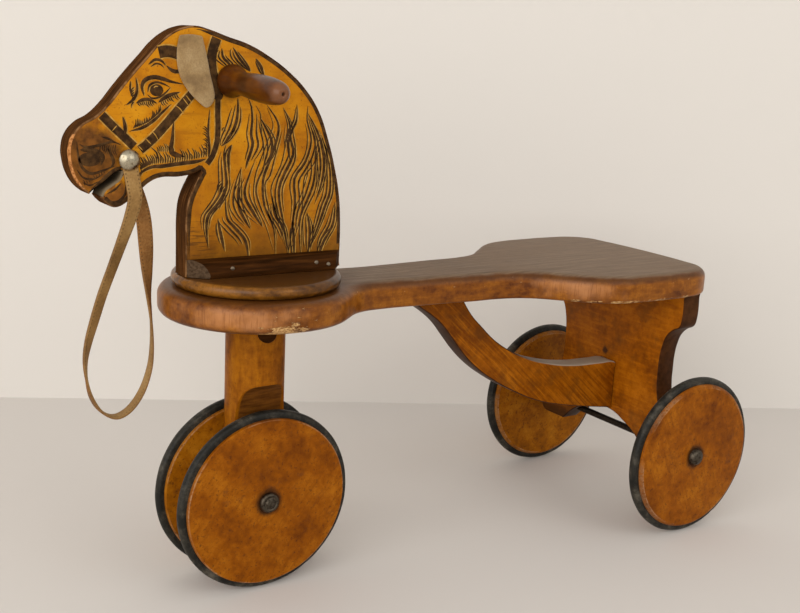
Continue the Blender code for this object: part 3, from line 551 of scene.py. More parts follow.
STRAPS = (    # the bridle's straps: width and line
    (8.2, ((79.4, 394.6), (75, 395.6), (70, 395.4), (60, 392.6))),
    (7.6, ((38.4, 405.6), (41.2, 397), (42.0, 389), (40.4, 380), (37.2, 370.5))),
    (4.2, ((36.9, 365.5), (37.0, 357), (36.6, 346.5), (37.2, 336.5), (40.2, 327), (44.4, 321))),
    (6.8, ((92.4, 331.2), (83, 339), (73.4, 349), (64, 359.4), (53, 371.5))),
    (6.2, ((118.2, 354.0), (111, 346.8), (103.6, 340), (96.6, 333.4))))
FACE_LINES = (    # width, where it is fullest, and line
    (3.1, 0.4, (
        (89.6, 366.4), (91.0, 372.6), (88.4, 377.0), (82.2, 378.7), (76, 377.6), (70.6, 376.0),
        (62.3, 374.6))),
    (1.7, 0.4, ((87.1, 368.7), (85.8, 373.3), (81.3, 375.4), (76.0, 374.4), (71.4, 372.3))),
    (1.5, 0.5, ((87.4, 367.4), (83.6, 365.0), (78.6, 366.0), (74.4, 369.0), (71.2, 372.2))),
    (3.0, 0.4, ((79.6, 362.4), (75.1, 365.6), (70.6, 367.6), (64.4, 369.3))),
    (2.4, 0.5, ((95.2, 361.6), (91.0, 363.8), (85.8, 364.1), (80.6, 361.6))),
    (2.0, 0.4, ((86.6, 386.8), (82.2, 389.9), (77.8, 389.5), (74.6, 386.6))),
    (1.2, 0.4, ((85.0, 385.4), (81.6, 387.4), (78.0, 386.9), (75.6, 384.8))),
    (2.8, 0.5, ((74.2, 386.4), (69.7, 383.2), (65.4, 382.8), (60, 384))),
    (2.4, 0.4, ((99.2, 343.6), (91.1, 345.6), (83.1, 350.4), (77.2, 355.6), (70.6, 361.4))),
    (2.6, 0.7, ((104.2, 353.0), (102.8, 347.6), (102.4, 341.0))),
    (2.2, 0.6, ((95.2, 378.4), (94.3, 371.2), (96.3, 364.8), (101.8, 360.4))),
    (1.4, 0.5, ((98.9, 376.0), (99.0, 370.9), (98.0, 366.2))),
    (2.0, 0.5, (
        (133.2, 335.4), (129.4, 333.4), (123.9, 333.7), (117.1, 335.2), (111.1, 336.6), (105.4, 334.6))),
    (1.5, 0.5, ((118.6, 340.0), (113.8, 338.6), (109.6, 336.4))),
    (2.2, 0.5, ((115.2, 333.4), (112.2, 328.2), (110.6, 323.2), (112.8, 319.4))),
    (3.6, 0.4, ((132.6, 331.6), (128.4, 331.6), (122.4, 330.6), (117.6, 327.0), (119.2, 321.4))),
    (2.0, 0.5, (
        (134.8, 336.6), (134.0, 328.4), (131.5, 320.4), (125.7, 316.2), (117.2, 318.2), (109.6, 321.0))),
    (1.4, 0.5, ((135.2, 319.2), (130.6, 313.6), (124.2, 312.6), (117.6, 315.6))),
    (1.1, 0.5, ((131.6, 310.6), (126.4, 308.6), (120.8, 311.0))),
    (2.6, 0.6, ((126.0, 305.6), (118.4, 311.6), (111.0, 317.6), (103.2, 320.8))),
    (2.0, 0.5, ((117.6, 301.6), (113.4, 297.2), (107.4, 297.4), (103.0, 302.2), (102.6, 309.2))),
    (1.5, 0.5, ((115.2, 302.6), (109.8, 305.4), (105.4, 309.6))),
    (1.6, 0.5, ((104.6, 314.2), (101.6, 317.6), (96.0, 319.0))),
    (3.0, 0.7, (
        (97.4, 310.6), (91.1, 316.6), (84.0, 319.6), (76.8, 320.0), (63.9, 321.6), (52.7, 322.6),
        (45.4, 324.4))),
    (3.8, 0.7, ((69.0, 350.6), (69.7, 338.5), (70.7, 330.6), (67.4, 327.6), (61.4, 326.4))),
    (2.1, 0.6, ((43.0, 358.0), (43.9, 343.2), (42.9, 331.6), (43.4, 325.0))),
    (1.2, 0.5, ((85.0, 333.0), (80.6, 328.4), (81.4, 322.0))),
    (1.5, 0.4, ((53.2, 303.6), (50.2, 309.6), (45.4, 316.6))))


def feathers(base, count, lean, length, width, seed):
    """Short strokes that leave a base line: they start evenly spaced along it, lean the same way, and
    differ a little in length."""
    chance = np.random.default_rng(seed)
    start = through(base, count)
    reach = np.asarray(lean) * (length * chance.uniform(0.5, 1.1, count))[:, None]
    bend = np.stack([-reach[:, 1], reach[:, 0]], 1) * 0.14
    lines = np.stack([start, start + reach * 0.5 + bend, start + reach], 1)
    return list(lines), [tapered(width, 0.25)] * count


LOCKS = (    # the mane's locks: how far their strands spread, and guide line
    (3.0, ((22.1, 366), (21.9, 357), (23.7, 347), (29, 338), (33.8, 333))),
    (-3.6, ((14.2, 366), (10.7, 356), (11.5, 342), (10, 333), (13.3, 324), (15.2, 317))),
    (3.4, (
        (0.1, 362), (-9, 350), (-10, 342), (-5.5, 329), (-1.8, 314), (3.2, 303), (-2.6, 284), (-9, 270),
        (-9.7, 251))),
    (3.0, ((5, 353), (-1, 344), (-5, 335), (-4, 325), (2.6, 317))),
    (3.0, (
        (-12.9, 360), (-19, 348), (-20, 336), (-22, 325), (-12.6, 306), (-12, 294), (-16, 276),
        (-20.4, 250))),
    (2.4, ((-24, 362), (-24.3, 351), (-20, 342), (-18, 332), (-20.4, 321))),
    (-3.4, (
        (-33, 361), (-33, 349), (-36.8, 335), (-32, 320), (-23.6, 308), (-25, 291), (-22.6, 271),
        (-20, 251))),
    (3.2, ((-44.6, 341), (-40, 325), (-41, 312), (-37, 297), (-30.7, 285), (-29, 271), (-31, 251))),
    (2.6, ((-45.4, 338), (-52, 321), (-54, 300), (-49.6, 287), (-44.4, 272), (-36, 254))),
    (2.8, ((30.6, 334), (32, 326), (30.4, 315), (30, 303), (36, 293), (43, 285), (44.4, 275), (43, 262))),
    (2.0, ((26.2, 334), (28.6, 326), (27.6, 313))),
    (3.2, ((18.5, 318), (20.4, 303), (20, 291), (15, 281), (10.6, 274))),
    (3.6, ((7.9, 323), (14.3, 307), (15, 297), (8, 285), (1, 275))),
    (3.8, ((30.4, 299), (29, 283), (22, 275), (14, 265), (11.6, 251))),
    (2.4, ((36, 282), (33.5, 272), (30.4, 259))),
    (2.6, ((-6.4, 297), (-8.8, 284), (-16, 273), (-20.4, 256))),
    (2.4, ((-57.6, 273), (-50.4, 263), (-45, 250))),
    (2.8, ((-58.4, 291), (-57.6, 275), (-51, 263), (-46, 250))),
    (2.4, ((-23, 279), (-24.6, 266), (-25.4, 250))),
    (2.6, ((-35, 284), (-38, 270), (-37, 251))),
    (2.6, ((-33, 356), (-43, 340), (-48, 322), (-46.6, 306), (-41, 290))),
    (3.0, ((34.6, 399), (33.4, 393), (29, 389), (26, 384))),
    (2.6, ((26.4, 400), (20.6, 392), (13, 384))),
    (2.0, ((9, 393), (4.7, 387), (2.4, 381))))
STRANDS = ((0.0, 2.3), (1.0, 1.6), (-0.8, 1.3), (1.9, 1.1))    # shares of the spread, and widths
THIN_LOCK = 2.5      # a lock that spreads less has only two strands


def mane_strands(seed):
    """Each lock has a broad strand on its guide line and thinner ones beside it. They part from it by
    the lock's spread times the sine of the way along, and meet it again at its tip."""
    chance = np.random.default_rng(seed)
    lines, widths = [], []
    for spread, guide in LOCKS:
        way = through(guide, 49)
        for apart, width in STRANDS[:2 if abs(spread) < THIN_LOCK else 4]:
            first, last = (0, 48) if apart == 0 else (chance.integers(0, 13), chance.integers(38, 49))
            picked = np.linspace(first, last, 8).astype(int)
            beside = apart * 1.2 * spread * np.sin(picked / 48 * math.pi) ** 0.7
            lines.append(way[picked] + np.stack([beside, 0 * beside], 1))
            widths.append(tapered(width * chance.uniform(0.85, 1.15), chance.uniform(0.4, 0.7)))
    return lines, widths


def oval(x, z, wide, tall):
    """A filled oval as one short, broad line."""
    t = np.linspace(-1, 1, LINE_STEPS)
    line = np.stack([x + wide * t, np.full(LINE_STEPS, z)], 1)
    return line[[0, 7, 14, 21]], 2 * tall * np.sqrt(np.maximum(1 - t ** 2, 0.002))


FEATHERS = (    # base line, count, lean, length, width and seed
    (((92, 318.0), (84, 321.2), (66, 322.6), (47, 325.6)), 34, (0.22, 0.97), 8.6, 1.15, 3),
    (((44.6, 326.0), (44.2, 334), (44.4, 344)), 12, (0.75, 0.66), 5.0, 0.9, 4),
    (((97, 345.2), (88, 348.8), (80, 354.6)), 15, (-0.25, 0.96), 6.5, 1.0, 5),
    (((94, 363.0), (84, 363.4)), 8, (-0.5, -0.86), 4.6, 0.9, 6),
    (((78, 363.4), (67, 368.4)), 9, (-0.6, -0.8), 4.6, 0.9, 7),
    (((69, 329.4), (80, 329.8)), 9, (0.25, 0.96), 6.0, 0.9, 8),
    (((119, 335), (109, 334.8)), 8, (-0.1, -0.99), 7.0, 0.9, 9),
    (((130, 308.6), (117, 316)), 9, (0.3, 0.95), 3.6, 0.7, 10),
    (((100, 306), (92, 314)), 9, (0.1, 0.99), 5.4, 0.9, 11),
    (((32, 346), (27, 340), (22, 350)), 9, (0.5, -0.87), 5.0, 0.9, 12),
    (((34, 309), (30, 302), (32, 296)), 12, (0.35, -0.94), 7.5, 1.0, 13),
    (((96.4, 372), (96.4, 362.6)), 7, (0.45, -0.89), 5.0, 0.9, 15),
    (((-17, 341), (-21, 350)), 6, (-0.1, -0.99), 8.0, 1.0, 14))
MANE_SEED = 21
OVALS = ((80.9, 370.3, 4.7, 4.0), (36.8, 367.4, 3.6, 3.6), (126.4, 325.4, 7.6, 4.6))    # eye, ring, nostril
BORDER_INSET = 2.3
BORDER_STEPS = 90
BORDER_RUNS = ((4, 124, 2.6), (298, 389, 2.2))    # first and last step of each run, and its width
BUCKLE_LINES = (
    ((84.6, 343.4), (82.2, 341.4), (79.4, 337.0)), ((93.6, 333.8), (90.6, 330.8)),
    ((88.8, 339.0), (84.8, 334.8)), ((92.6, 335.0), (88.2, 339.0)),
    ((67.8, 360.6), (64.6, 358.4), (61.4, 354.6)), ((60.4, 367.4), (56.2, 362.6)),
    ((62.4, 365.4), (58.4, 360.6)), ((108.2, 347.2), (111.4, 343.6)),
    ((83.0, 371.8), (81.6, 372.8), (79.8, 372.6)))

strap_lines = [np.array(line) for _, line in STRAPS]
strap_widths = [np.full(LINE_STEPS, width) for width, _ in STRAPS]
strap_edges = [width + 1.3 for width in strap_widths]
on_both_sides("bridle_edge", *film(strap_lines, strap_edges, EDGE_LIFT), pale_line)
lines = [np.array(line) for _, _, line in FACE_LINES]
widths = [tapered(width, fullest) for width, fullest, _ in FACE_LINES]
for more_lines, more_widths in [feathers(*row) for row in FEATHERS] + [mane_strands(MANE_SEED)]:
    lines += more_lines
    widths += more_widths
# Painted highlight: a pale film a little to one side of each line in the mane and in the face behind the
# muzzle.
paired = [
    (line + (-0.75, -0.25), 0.9 * width) for line, width in zip(lines, widths) if line[:, 0].mean() < 105]
on_both_sides("highlight_film", *film(*zip(*paired), PALE_LIFT), pale_line)
for row in OVALS:
    line, width = oval(*row)
    lines.append(line)
    widths.append(width)
on_both_sides("print_lines", *film(lines + strap_lines, widths + strap_widths, INK_LIFT), brown_ink)
border = through(head_ring + inward(head_ring, BORDER_INSET), 400)
fading_in = np.clip(np.linspace(0.1, 9, BORDER_STEPS), 0, 1)
border_lines = [border[first:last:2] for first, last, _ in BORDER_RUNS]
border_widths = [width * fading_in for _, _, width in BORDER_RUNS]
on_both_sides("print_border", *film(border_lines, border_widths, INK_LIFT), brown_ink)
buckle_widths = [tapered(0.75)] * len(BUCKLE_LINES)
on_both_sides("buckle_lines", *film(BUCKLE_LINES, buckle_widths, BUCKLE_LIFT), pale_line)


# Ears: leaves of grey-beige suede, glued to the head below the crown by their tops and hanging flat
# beside the forehead. The lower end has lifted a little from the wood.
EAR_HEIGHTS = np.array((407.2, 402, 396, 388.5, 381, 374, 367.5, 362.6, 359.5))
EAR_BACK = np.array((49.6, 48.4, 46.7, 44.7, 43.0, 41.2, 40.3, 42.2, 45.7))
EAR_FRONT = np.array((65.4, 66.6, 67.4, 67.0, 65.2, 61.8, 56.8, 51.6, 47.6))
EAR_HALF = 0.85
EAR_GAP = 1.45       # from the wood to the middle of the leather
EAR_LIFT = 1.9       # how much further the lower end stands off
EAR_WAVE = 0.35
EAR_CUP = 0.45       # how far the two edges bend towards the wood
EAR_STEPS = 60


def suede():
    """Short nap in two tones, with darker rubbed and soiled patches."""
    finish = new_finish("ear_suede", roughness=0.9, Sheen_Weight=0.25, Sheen_Roughness=0.5)
    here = place(finish)
    patches = noise(here, 70, 4)
    nap = noise(here, 900, 3)
    colour = tones(
        patches, (0.30, (0.17, 0.096, 0.032)), (0.50, (0.32, 0.200, 0.078)), (0.70, (0.42, 0.285, 0.130)))
    colour = blend(between(nap, 0.35, 0.7, 0.0, 0.35), colour, (0.17, 0.095, 0.035))
    return finished(finish, Base_Color=colour, Normal=bump(nap, 0.00025))


ear_suede = suede()
t = np.linspace(0, 1, EAR_STEPS)
at = through(np.stack([EAR_BACK, EAR_FRONT, EAR_HEIGHTS], 1), EAR_STEPS)
half = (at[:, 1] - at[:, 0]) / 2
closing = np.sqrt(np.clip(1 - np.clip((np.abs(t - 0.5) - 0.47) / 0.03, 0, 1) ** 2, 0.0, 1))
section = soft_oblong(28, 0.5)
lift = BOARD_HALF + EAR_GAP + EAR_LIFT * t ** 3 + EAR_WAVE * np.sin(t * 9)
for side, sign in SIDES:
    path = np.stack([POST_X + at[:, 0] + half, sign * lift, at[:, 2]], 1)
    across = np.tile((1.0, 0, 0), (EAR_STEPS, 1))
    facing = np.tile((0, sign * 1.0, 0), (EAR_STEPS, 1))
    leaf = swept(path, across, facing, half * np.maximum(closing, 0.3), EAR_HALF * closing + 0.02, section)
    cup = ((leaf[..., 0] - path[:, None, 0]) / half[:, None]) ** 2 * np.sin(t * math.pi)[:, None]
    leaf[..., 1] -= sign * EAR_CUP * cup
    ear = make("suede_ear_" + side, leaf, capped(leaf), ear_suede, crease=80)
    fit(ear, "steering", "grey_suede", "ear_" + side)


# Handles: turned grips of stained wood, polished by hands, each glued in the head by a tenon. The
# lathe's centre has left a small hole in the tip.
def spun(profile, place, axis, steps, loop=False):
    """A profile of (radius, height) turned about an axis: point (i, j) = place + axis x height j +
    radius j x (side x cos angle i + other side x sin angle i)."""
    axis = unit(np.asarray(axis, float))
    side = unit(np.cross(axis, (0.0, 0.13, 1.0) if abs(axis[1]) > 0.5 else (0.0, 1.0, 0.0)))
    other = np.cross(axis, side)
    angle = np.linspace(0, 2 * math.pi, steps, endpoint=False)[:, None, None]
    profile = np.asarray(profile, float)
    points = (
        np.asarray(place, float) + axis * profile[None, :, 1:]
        + profile[None, :, :1] * (side * np.cos(angle) + other * np.sin(angle)))
    return points, grid_faces(steps, len(profile), loop_rows=True, loop_columns=loop)


def polished_red():
    """Red-brown stain with grain that runs along the grip, and lighter at its end, a painted highlight on the
    rounded tip.
    """
    finish = new_finish(
        "handle_finish", roughness=0.34, specular=0.15, Coat_Weight=0.2, Coat_Roughness=0.14)
    grain = noise(place(finish, (420, 40, 420)), 1, 4)
    patches = noise(place(finish), 50, 4)
    colour = tones(
        patches, (0.3, (0.026, 0.007, 0.001)), (0.5, (0.068, 0.017, 0.001)), (0.7, (0.130, 0.036, 0.002)))
    colour = blend(between(grain, 0.5, 0.68, 0.0, 0.6), colour, (0.05, 0.014, 0.004))
    # Painted highlight: the rounded tip is lighter.
    outward = positive(coordinate(finish, "Y"))
    colour = blend(between(outward, 0.078, 0.0855, 0.0, 0.7), colour, (0.20, 0.080, 0.032))
    return finished(finish, Base_Color=colour, Normal=bump(grain, 0.00008))


HANDLE_PROFILE = (    # radius, and distance from the head
    (0.9, 73.9), (1.2, 76.0), (2.8, 76.4), (4.4, 75.5), (6.8, 72), (8.2, 65), (9.0, 52), (8.8, 36),
    (7.9, 20.5), (8.4, 12.5), (10.2, 6.4), (11.3, 2.6), (11.3, 0.6), (10.6, -0.3), (6.2, -0.4))
HANDLE_X, HANDLE_HEIGHT = POST_X + 27, 377.5
DROOP = math.radians(3)
handle_finish = polished_red()
for side, sign in SIDES:
    axis = (0, sign * math.cos(DROOP), -math.sin(DROOP))
    profile = np.vstack([[(0, 73.2)], through(HANDLE_PROFILE, 90), [(6.0, -4.0), (0, -4.0)]])
    points, faces = spun(profile, (HANDLE_X, sign * (BOARD_HALF + 0.6), HANDLE_HEIGHT), axis, 48)
    fit(make("grip_" + side, points, faces, handle_finish), "steering", "red_wood", "handle_" + side)


# Tacks: pressed domes of nickelled steel, one through each end of the rein. The shank is driven into
# the head's side, and the dome holds the leather down.
def worn_metal(name, colour, spots, rough, spot_share, dents):
    """Metal with fine scratches and duller spots."""
    finish = new_finish(name, roughness=rough, Metallic=1.0)
    here = place(finish)
    spotted = between(noise(here, 420, 4), spot_share - 0.08, spot_share + 0.08)
    return finished(
        finish, Base_Color=blend(spotted, colour, spots), Normal=bump(noise(here, 1500, 2), dents),
        Roughness=between(noise(here, 260, 3), 0.3, 0.7, rough - 0.08, rough + 0.16))


nickel = worn_metal("tack_nickel", (0.44, 0.385, 0.275), (0.18, 0.135, 0.08), 0.30, 0.62, 0.000004)
TACK_DOME = ((0, 4.2), (1.5, 4.1), (3.4, 3.6), (5.2, 2.6), (6.5, 1.3), (7.2, 0.2), (7.1, -0.2))
TACK_SHANK = ((1.2, -0.1), (1.2, -9.5), (0, -11))
TACK_X, TACK_HEIGHT, TACK_OUT = POST_X + 100.6, 324.8, 12.1
for side, sign in SIDES:
    profile = np.vstack([through(TACK_DOME, 24), TACK_SHANK])
    points, faces = spun(profile, (TACK_X, sign * TACK_OUT, TACK_HEIGHT), (0, sign, 0), 48)
    tack = make("tack_" + side, points, faces, nickel, crease=50)
    fit(tack, "steering", "nickel", "rein_tack_" + side)


# Cleats: quarter-round mouldings along the head's foot, stained almost black, with their front ends
# sawn on a slope to bare end grain. Each is held by two nails into the head and one into the disc.
CLEAT_WIDTH, CLEAT_HEIGHT = 11.0, 12.5
CLEAT_REAR, CLEAT_FRONT = -63.0, 59.0
FRONT_SLOPE, REAR_SLOPE = math.radians(48), math.radians(38)


def dark_stain():
    """Near-black brown stain with faint grain along the piece, and grey, rubbed end grain in front."""
    finish = new_finish("cleat_stain", specular=0.02)
    here = place(finish)
    grain = noise(place(finish, (25, 300, 300)), 1, 4)
    colour = tones(
        grain, (0.35, (0.018, 0.006, 0.001)), (0.55, (0.046, 0.015, 0.003)), (0.72, (0.085, 0.031, 0.006)))
    ends = between(plus(mark(finish, "end"), ragged(here, 300, 0.8, 3)), 0.4, 0.7)
    end_grain = tones(noise(here, 500, 3), (0.35, (0.045, 0.026, 0.014)), (0.65, (0.098, 0.060, 0.034)))
    return finished(finish, Base_Color=blend(ends, colour, end_grain), Normal=bump(grain, 0.00012))


def refinish(finish, *words):
    """Give a finish to the solids whose names hold one of the words."""
    for name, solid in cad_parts.items():
        if any(word in name for word in words):
            solid.data.materials.clear()
            solid.data.materials.append(finish)


cleat_stain = dark_stain()
angle = np.linspace(0, math.pi / 2, 15)[1:-1, None]
quarter = np.vstack([
    [(0.25, 0.0), (CLEAT_WIDTH - 0.4, 0.0)],
    np.hstack([CLEAT_WIDTH * np.cos(angle), CLEAT_HEIGHT * np.sin(angle)]),
    [(0.4, CLEAT_HEIGHT - 0.05), (0.0, CLEAT_HEIGHT - 0.4), (0.0, 0.25)]])
share = np.concatenate([[0, 0.004], np.linspace(0.02, 0.98, 12), [0.996, 1]])[:, None]
front = CLEAT_FRONT - quarter[None, :, 0] * math.tan(FRONT_SLOPE)
rear = CLEAT_REAR + quarter[None, :, 0] * math.tan(REAR_SLOPE)
drawn_in = np.where((share == 0) | (share == 1), 0.036, 0.0)[..., None]
ring = quarter[None] + ((4.0, 4.6) - quarter[None]) * drawn_in
for side, sign in SIDES:
    points = np.stack([
        POST_X + rear + (front - rear) * share, sign * (BOARD_HALF + 0.3 + ring[..., 0]),
        HEAD_BOTTOM + ring[..., 1]], -1)
    cleat = make("moulding_" + side, points, capped(points), cleat_stain, marks={"end": share > 0.99})
    fit(cleat, "steering", "dark_wood", "cleat_" + side)
refinish(worn_metal("nail_steel", (0.26, 0.21, 0.15), (0.08, 0.05, 0.03), 0.5, 0.62, 0.00002), "nail")


# Disc: a turned plate with a half-round rim between the plank and the head, dark on top and glossy
# brown round its rim.
DISC_RADIUS, DISC_HALF, DISC_BOTTOM = 62.0, 4.85, 232.3
SPINDLE_HOLE = 12.8


def stained_wood(
        name, dark, middle, light, grain=(1, 1, 1), rough=0.45, blotch=24.0, seed=0.0, spread=0.10,
        specular=0.07):
    """Old shellac over stained wood: broad blotches, streaks along the grain, small mottling and dark
    pores. Returns the material, and the colour and the height to build on."""
    finish = new_finish(name, roughness=rough, specular=specular)
    here = place(finish, shift=(seed, seed * 0.7, -seed))
    streaks = noise(place(finish, grain, shift=(seed, 0, seed)), 1, 5, 0.6)
    blotches = noise(here, blotch, 4)
    mottle = noise(here, 170, 5, 0.65)
    pores = noise(here, 700, 3, 0.6)
    spots = noise(here, 310, 4, 0.6)
    level = plus(times(blotches, 0.42), plus(times(streaks, 0.30), times(mottle, 0.28)))
    colour = tones(level, (0.5 - spread, dark), (0.50, middle), (0.5 + spread, light))
    colour = blend(between(pores, 0.58, 0.72, 0.0, 0.6), colour, dark)
    colour = blend(between(spots, 0.69, 0.76, 0.0, 0.8), colour, tuple(c * 0.35 for c in dark))
    return finish, colour, plus(streaks, times(pores, 0.5))


def disc_wood():
    """Brown stain, darker and duller on the flat top than round the rim."""
    finish, colour, height = stained_wood(
        "disc_wood", (0.036, 0.012, 0.002), (0.112, 0.040, 0.003), (0.245, 0.094, 0.010),
        (60, 260, 260), 0.28, 14.0, 2.0, specular=0.25)
    top = between(coordinate(finish, "Z"), 0.2409, 0.2418, 0.0, 0.85)
    colour = blend(top, colour, (0.064, 0.024, 0.006))
    return finished(finish, Base_Color=colour, Normal=bump(height, 0.00010))


rim_angle = np.linspace(math.pi / 2, -math.pi / 2, 19)
rim = np.stack([DISC_RADIUS - DISC_HALF + DISC_HALF * np.cos(rim_angle), DISC_HALF * np.sin(rim_angle)], 1)
profile = np.vstack([
    [(SPINDLE_HOLE, DISC_HALF), (40, DISC_HALF)], rim, [(40, -DISC_HALF), (SPINDLE_HOLE, -DISC_HALF)]])
points, faces = spun(profile, (POST_X, 0, DISC_BOTTOM + DISC_HALF), (0, 0, 1), 144, loop=True)
fit(make("disc", points, faces, disc_wood()), "steering", "red_wood", "turntable_disc")


# Plank: the seat's board with a round front about the post. Its top is worn to a greyish brown with
# fine lengthwise grain, its sides keep the orange shellac, and its lower edge is chipped.
AXLE_X = -221.85         # the rear axle, from which the plank's outline is measured
WHEELBASE = 373.7        # from the rear axle to the post's axis
PLANK_HALF = 11.0
PLANK_MIDDLE = 221.0
PLANK_SIDE = (
    (303, 35.0), (279, 31.0), (246, 32.0), (200, 35.5), (171, 37.0), (149, 43.5), (126, 62.5),
    (102, 82.0), (79, 89.5), (50, 91.5), (18, 91.5), (-6, 87.0), (-22, 72.0), (-26, 50.0), (-28, 22.0))
FRONT_RADIUS = 71.5
FRONT_ARC = 134          # degrees to each side of straight ahead
BORE_RADIUS = 13.1
BORE_ARC = 150           # within these degrees, the plank's inner edge is the bore
TOP_ROUND = 8.0
REAR_ROUND, FRONT_ROUND = 3.0, 7.0    # under the seat, and under the round front
NECK_FROM = 250          # from here forward the lower edge grows rounder


def plank_wood():
    """Orange shellac on the sides, darker along the upper edge and on the underside, and lighter and pinker
    where a mark says so: a painted sheen over rubbed shellac; a worn grey-brown top; and pale chips where
    splinters have broken from the edges."""
    finish, colour, height = stained_wood(
        "plank_wood", (0.085, 0.020, 0.001), (0.20, 0.058, 0.002), (0.32, 0.108, 0.006), (38, 210, 210), 0.38,
        specular=0.2)
    here = place(finish)
    # Painted sheen over rubbed shellac: lighter, pinker colour where the rubbed mark is high.
    rubbed = plus(mark(finish, "rubbed"), ragged(here, 60, 1.3))
    colour = blend(between(rubbed, 0.15, 1.0, 0.0, 0.8), colour, (0.47, 0.200, 0.072))
    saw = noise(place(finish, (900, 900, 60)), 1, 2)
    colour = blend(between(saw, 0.50, 0.66, 0.0, 0.40), colour, (0.16, 0.045, 0.004))
    grain = noise(place(finish, (16, 420, 60)), 1, 6, 0.65)
    worn = tones(
        grain, (0.34, (0.078, 0.044, 0.024)), (0.5, (0.150, 0.095, 0.056)), (0.66, (0.230, 0.158, 0.101)))
    worn = blend(between(noise(here, 14, 4), 0.42, 0.62, 0.0, 0.4), worn, (0.140, 0.078, 0.038))
    dashes = noise(place(finish, (110, 950, 110)), 1, 4)
    worn = blend(between(dashes, 0.52, 0.66, 0.0, 0.55), worn, (0.072, 0.046, 0.028))
    x = coordinate(finish, "X")
    worn = blend(between(x, -0.20, 0.02, 0.35, 0.0), worn, (0.225, 0.150, 0.094))
    rounder = between(x, 0.05, 0.13, 0.0, -0.0028)    # the round front's edge is worn further down
    edge = plus(plus(coordinate(finish, "Z"), rounder), ragged(here, 60, 0.0025))
    # Darker along the upper edge.
    colour = blend(between(edge, 0.2245, 0.2290, 0.0, 0.75), colour, (0.065, 0.024, 0.006))
    colour = blend(between(edge, 0.2296, 0.2318), colour, worn)
    # Darker on the underside and its rounded edge.
    colour = blend(between(edge, 0.2085, 0.2112, 0.7, 0.0), colour, (0.085, 0.026, 0.004))
    sliver = noise(place(finish, (110, 110, 330)), 1, 5, 0.65)
    chips = between(plus(sliver, mark(finish, "chip")), 0.74, 0.78)
    fresh = tones(noise(here, 700, 3), (0.35, (0.28, 0.13, 0.035)), (0.65, (0.62, 0.38, 0.16)))
    return finished(
        finish, Base_Color=blend(chips, colour, fresh), Roughness=between(edge, 0.2290, 0.2322, 0.36, 0.55),
        Normal=bump(minus(plus(height, grain), times(chips, 2.0)), 0.00014))


arc = np.radians(np.linspace(-FRONT_ARC, FRONT_ARC, 41))
front = np.stack([WHEELBASE + FRONT_RADIUS * np.cos(arc), FRONT_RADIUS * np.sin(arc)], 1)
side_line = np.array(PLANK_SIDE)
ring = traced(knots((1, front), (1, side_line), (1, (side_line * (1, -1))[::-1])), 5)
under_round = np.interp(ring[:, 0], (NECK_FROM, WHEELBASE), (REAR_ROUND, FRONT_ROUND))
skin = board_skin(ring, PLANK_HALF, TOP_ROUND, under_round, 9)
from_post = np.degrees(np.arctan2(ring[:, 1], ring[:, 0] - WHEELBASE))
at_bore = np.abs(from_post) < BORE_ARC
about = np.radians(np.clip(from_post / BORE_ARC, -1, 1) * 180)
spine = np.clip(ring[:, 0] * 1.08 + 14, 6, WHEELBASE - BORE_RADIUS)    # the middle line behind the bore
inner = np.where(
    at_bore[:, None],
    np.stack([WHEELBASE + BORE_RADIUS * np.cos(about), BORE_RADIUS * np.sin(about)], 1),
    np.stack([spine, np.zeros(len(ring))], 1))
top, bottom = (
    np.concatenate([inner, np.full((len(ring), 1), height)], 1)[None] for height in (PLANK_HALF, -PLANK_HALF))
skin = np.concatenate([top, skin, bottom])
x, y, z = skin[..., 0], np.abs(skin[..., 1]), skin[..., 2]
bearing = np.degrees(np.arctan2(y, x - WHEELBASE))    # from straight ahead of the post
# The painted sheen over rubbed shellac lies on the round front's side that faces front and left, and along
# the seat's sides.
wide = np.exp(-((bearing - 54) / 40) ** 2) * (x > 300) + np.exp(-((x - 118) / 34) ** 2)
rubbed = 1.05 * wide * np.clip(1.1 - np.abs(z + 0.5) / 11, 0, 1)
front_chip = 0.34 * np.exp(-((bearing - 80) / 16) ** 2) * (x > 300) * np.clip((1 - z) / 7, 0, 1) ** 0.4
seat_chip = 0.22 * (z < -8) * (z > -10.9) * (x < 130)
side_chip = 0.075 * (np.abs(z - 2) < 6)
rows, columns = skin.shape[:2]
faces = grid_faces(rows, columns, loop_rows=True)
bore_wall = [face for face, kept in zip(faces[-columns:], at_bore | np.roll(at_bore, -1)) if kept]
plank = make(
    "plank", skin + (AXLE_X, 0, PLANK_MIDDLE), faces[:-columns] + bore_wall, plank_wood(), crease=30,
    marks={"rubbed": rubbed, "chip": np.maximum(np.maximum(front_chip, seat_chip), side_chip)})
fit(plank, "frame", "honey_wood", "seat_plank")


# Post: a turned pillar under the plank's round front, scooped flat on both sides to a tongue that
# stands between the front wheels. It turns with the head, and a dark peg locks it to the spindle.
POST_RADIUS = 22.2
POST_FOOT, POST_TOP = 47.0, 209.7
POST_CHAMFER = 0.8
SCOOP_LOW, SCOOP_RISE, SCOOP_DEPTH = 131.5, 28.0, 14.5    # the quarter oval at the scoop's upper end


def post_wood():
    """Amber shellac with mottling round the pillar, a darker stain on the sawn scoops, and painted shade at
    its top under the plank.
    """
    finish, colour, height = stained_wood(
        "post_wood", (0.095, 0.024, 0.001), (0.225, 0.066, 0.002), (0.34, 0.115, 0.003), (240, 240, 36), 0.42,
        seed=4.0)
    scooped = between(mark(finish, "scoop"), 0.35, 0.65, 0.0, 0.85)
    lines = noise(place(finish, (60, 60, 420)), 1, 4)
    sawn = tones(lines, (0.35, (0.035, 0.012, 0.003)), (0.65, (0.13, 0.046, 0.008)))
    colour = blend(scooped, colour, sawn)
    # Painted shade: the top of the post, just under the plank, is darkened.
    colour = blend(between(coordinate(finish, "Z"), 0.2035, 0.2105, 0.0, 0.75), colour, (0.055, 0.018, 0.005))
    return finished(finish, Base_Color=colour, Normal=bump(height, 0.00012))


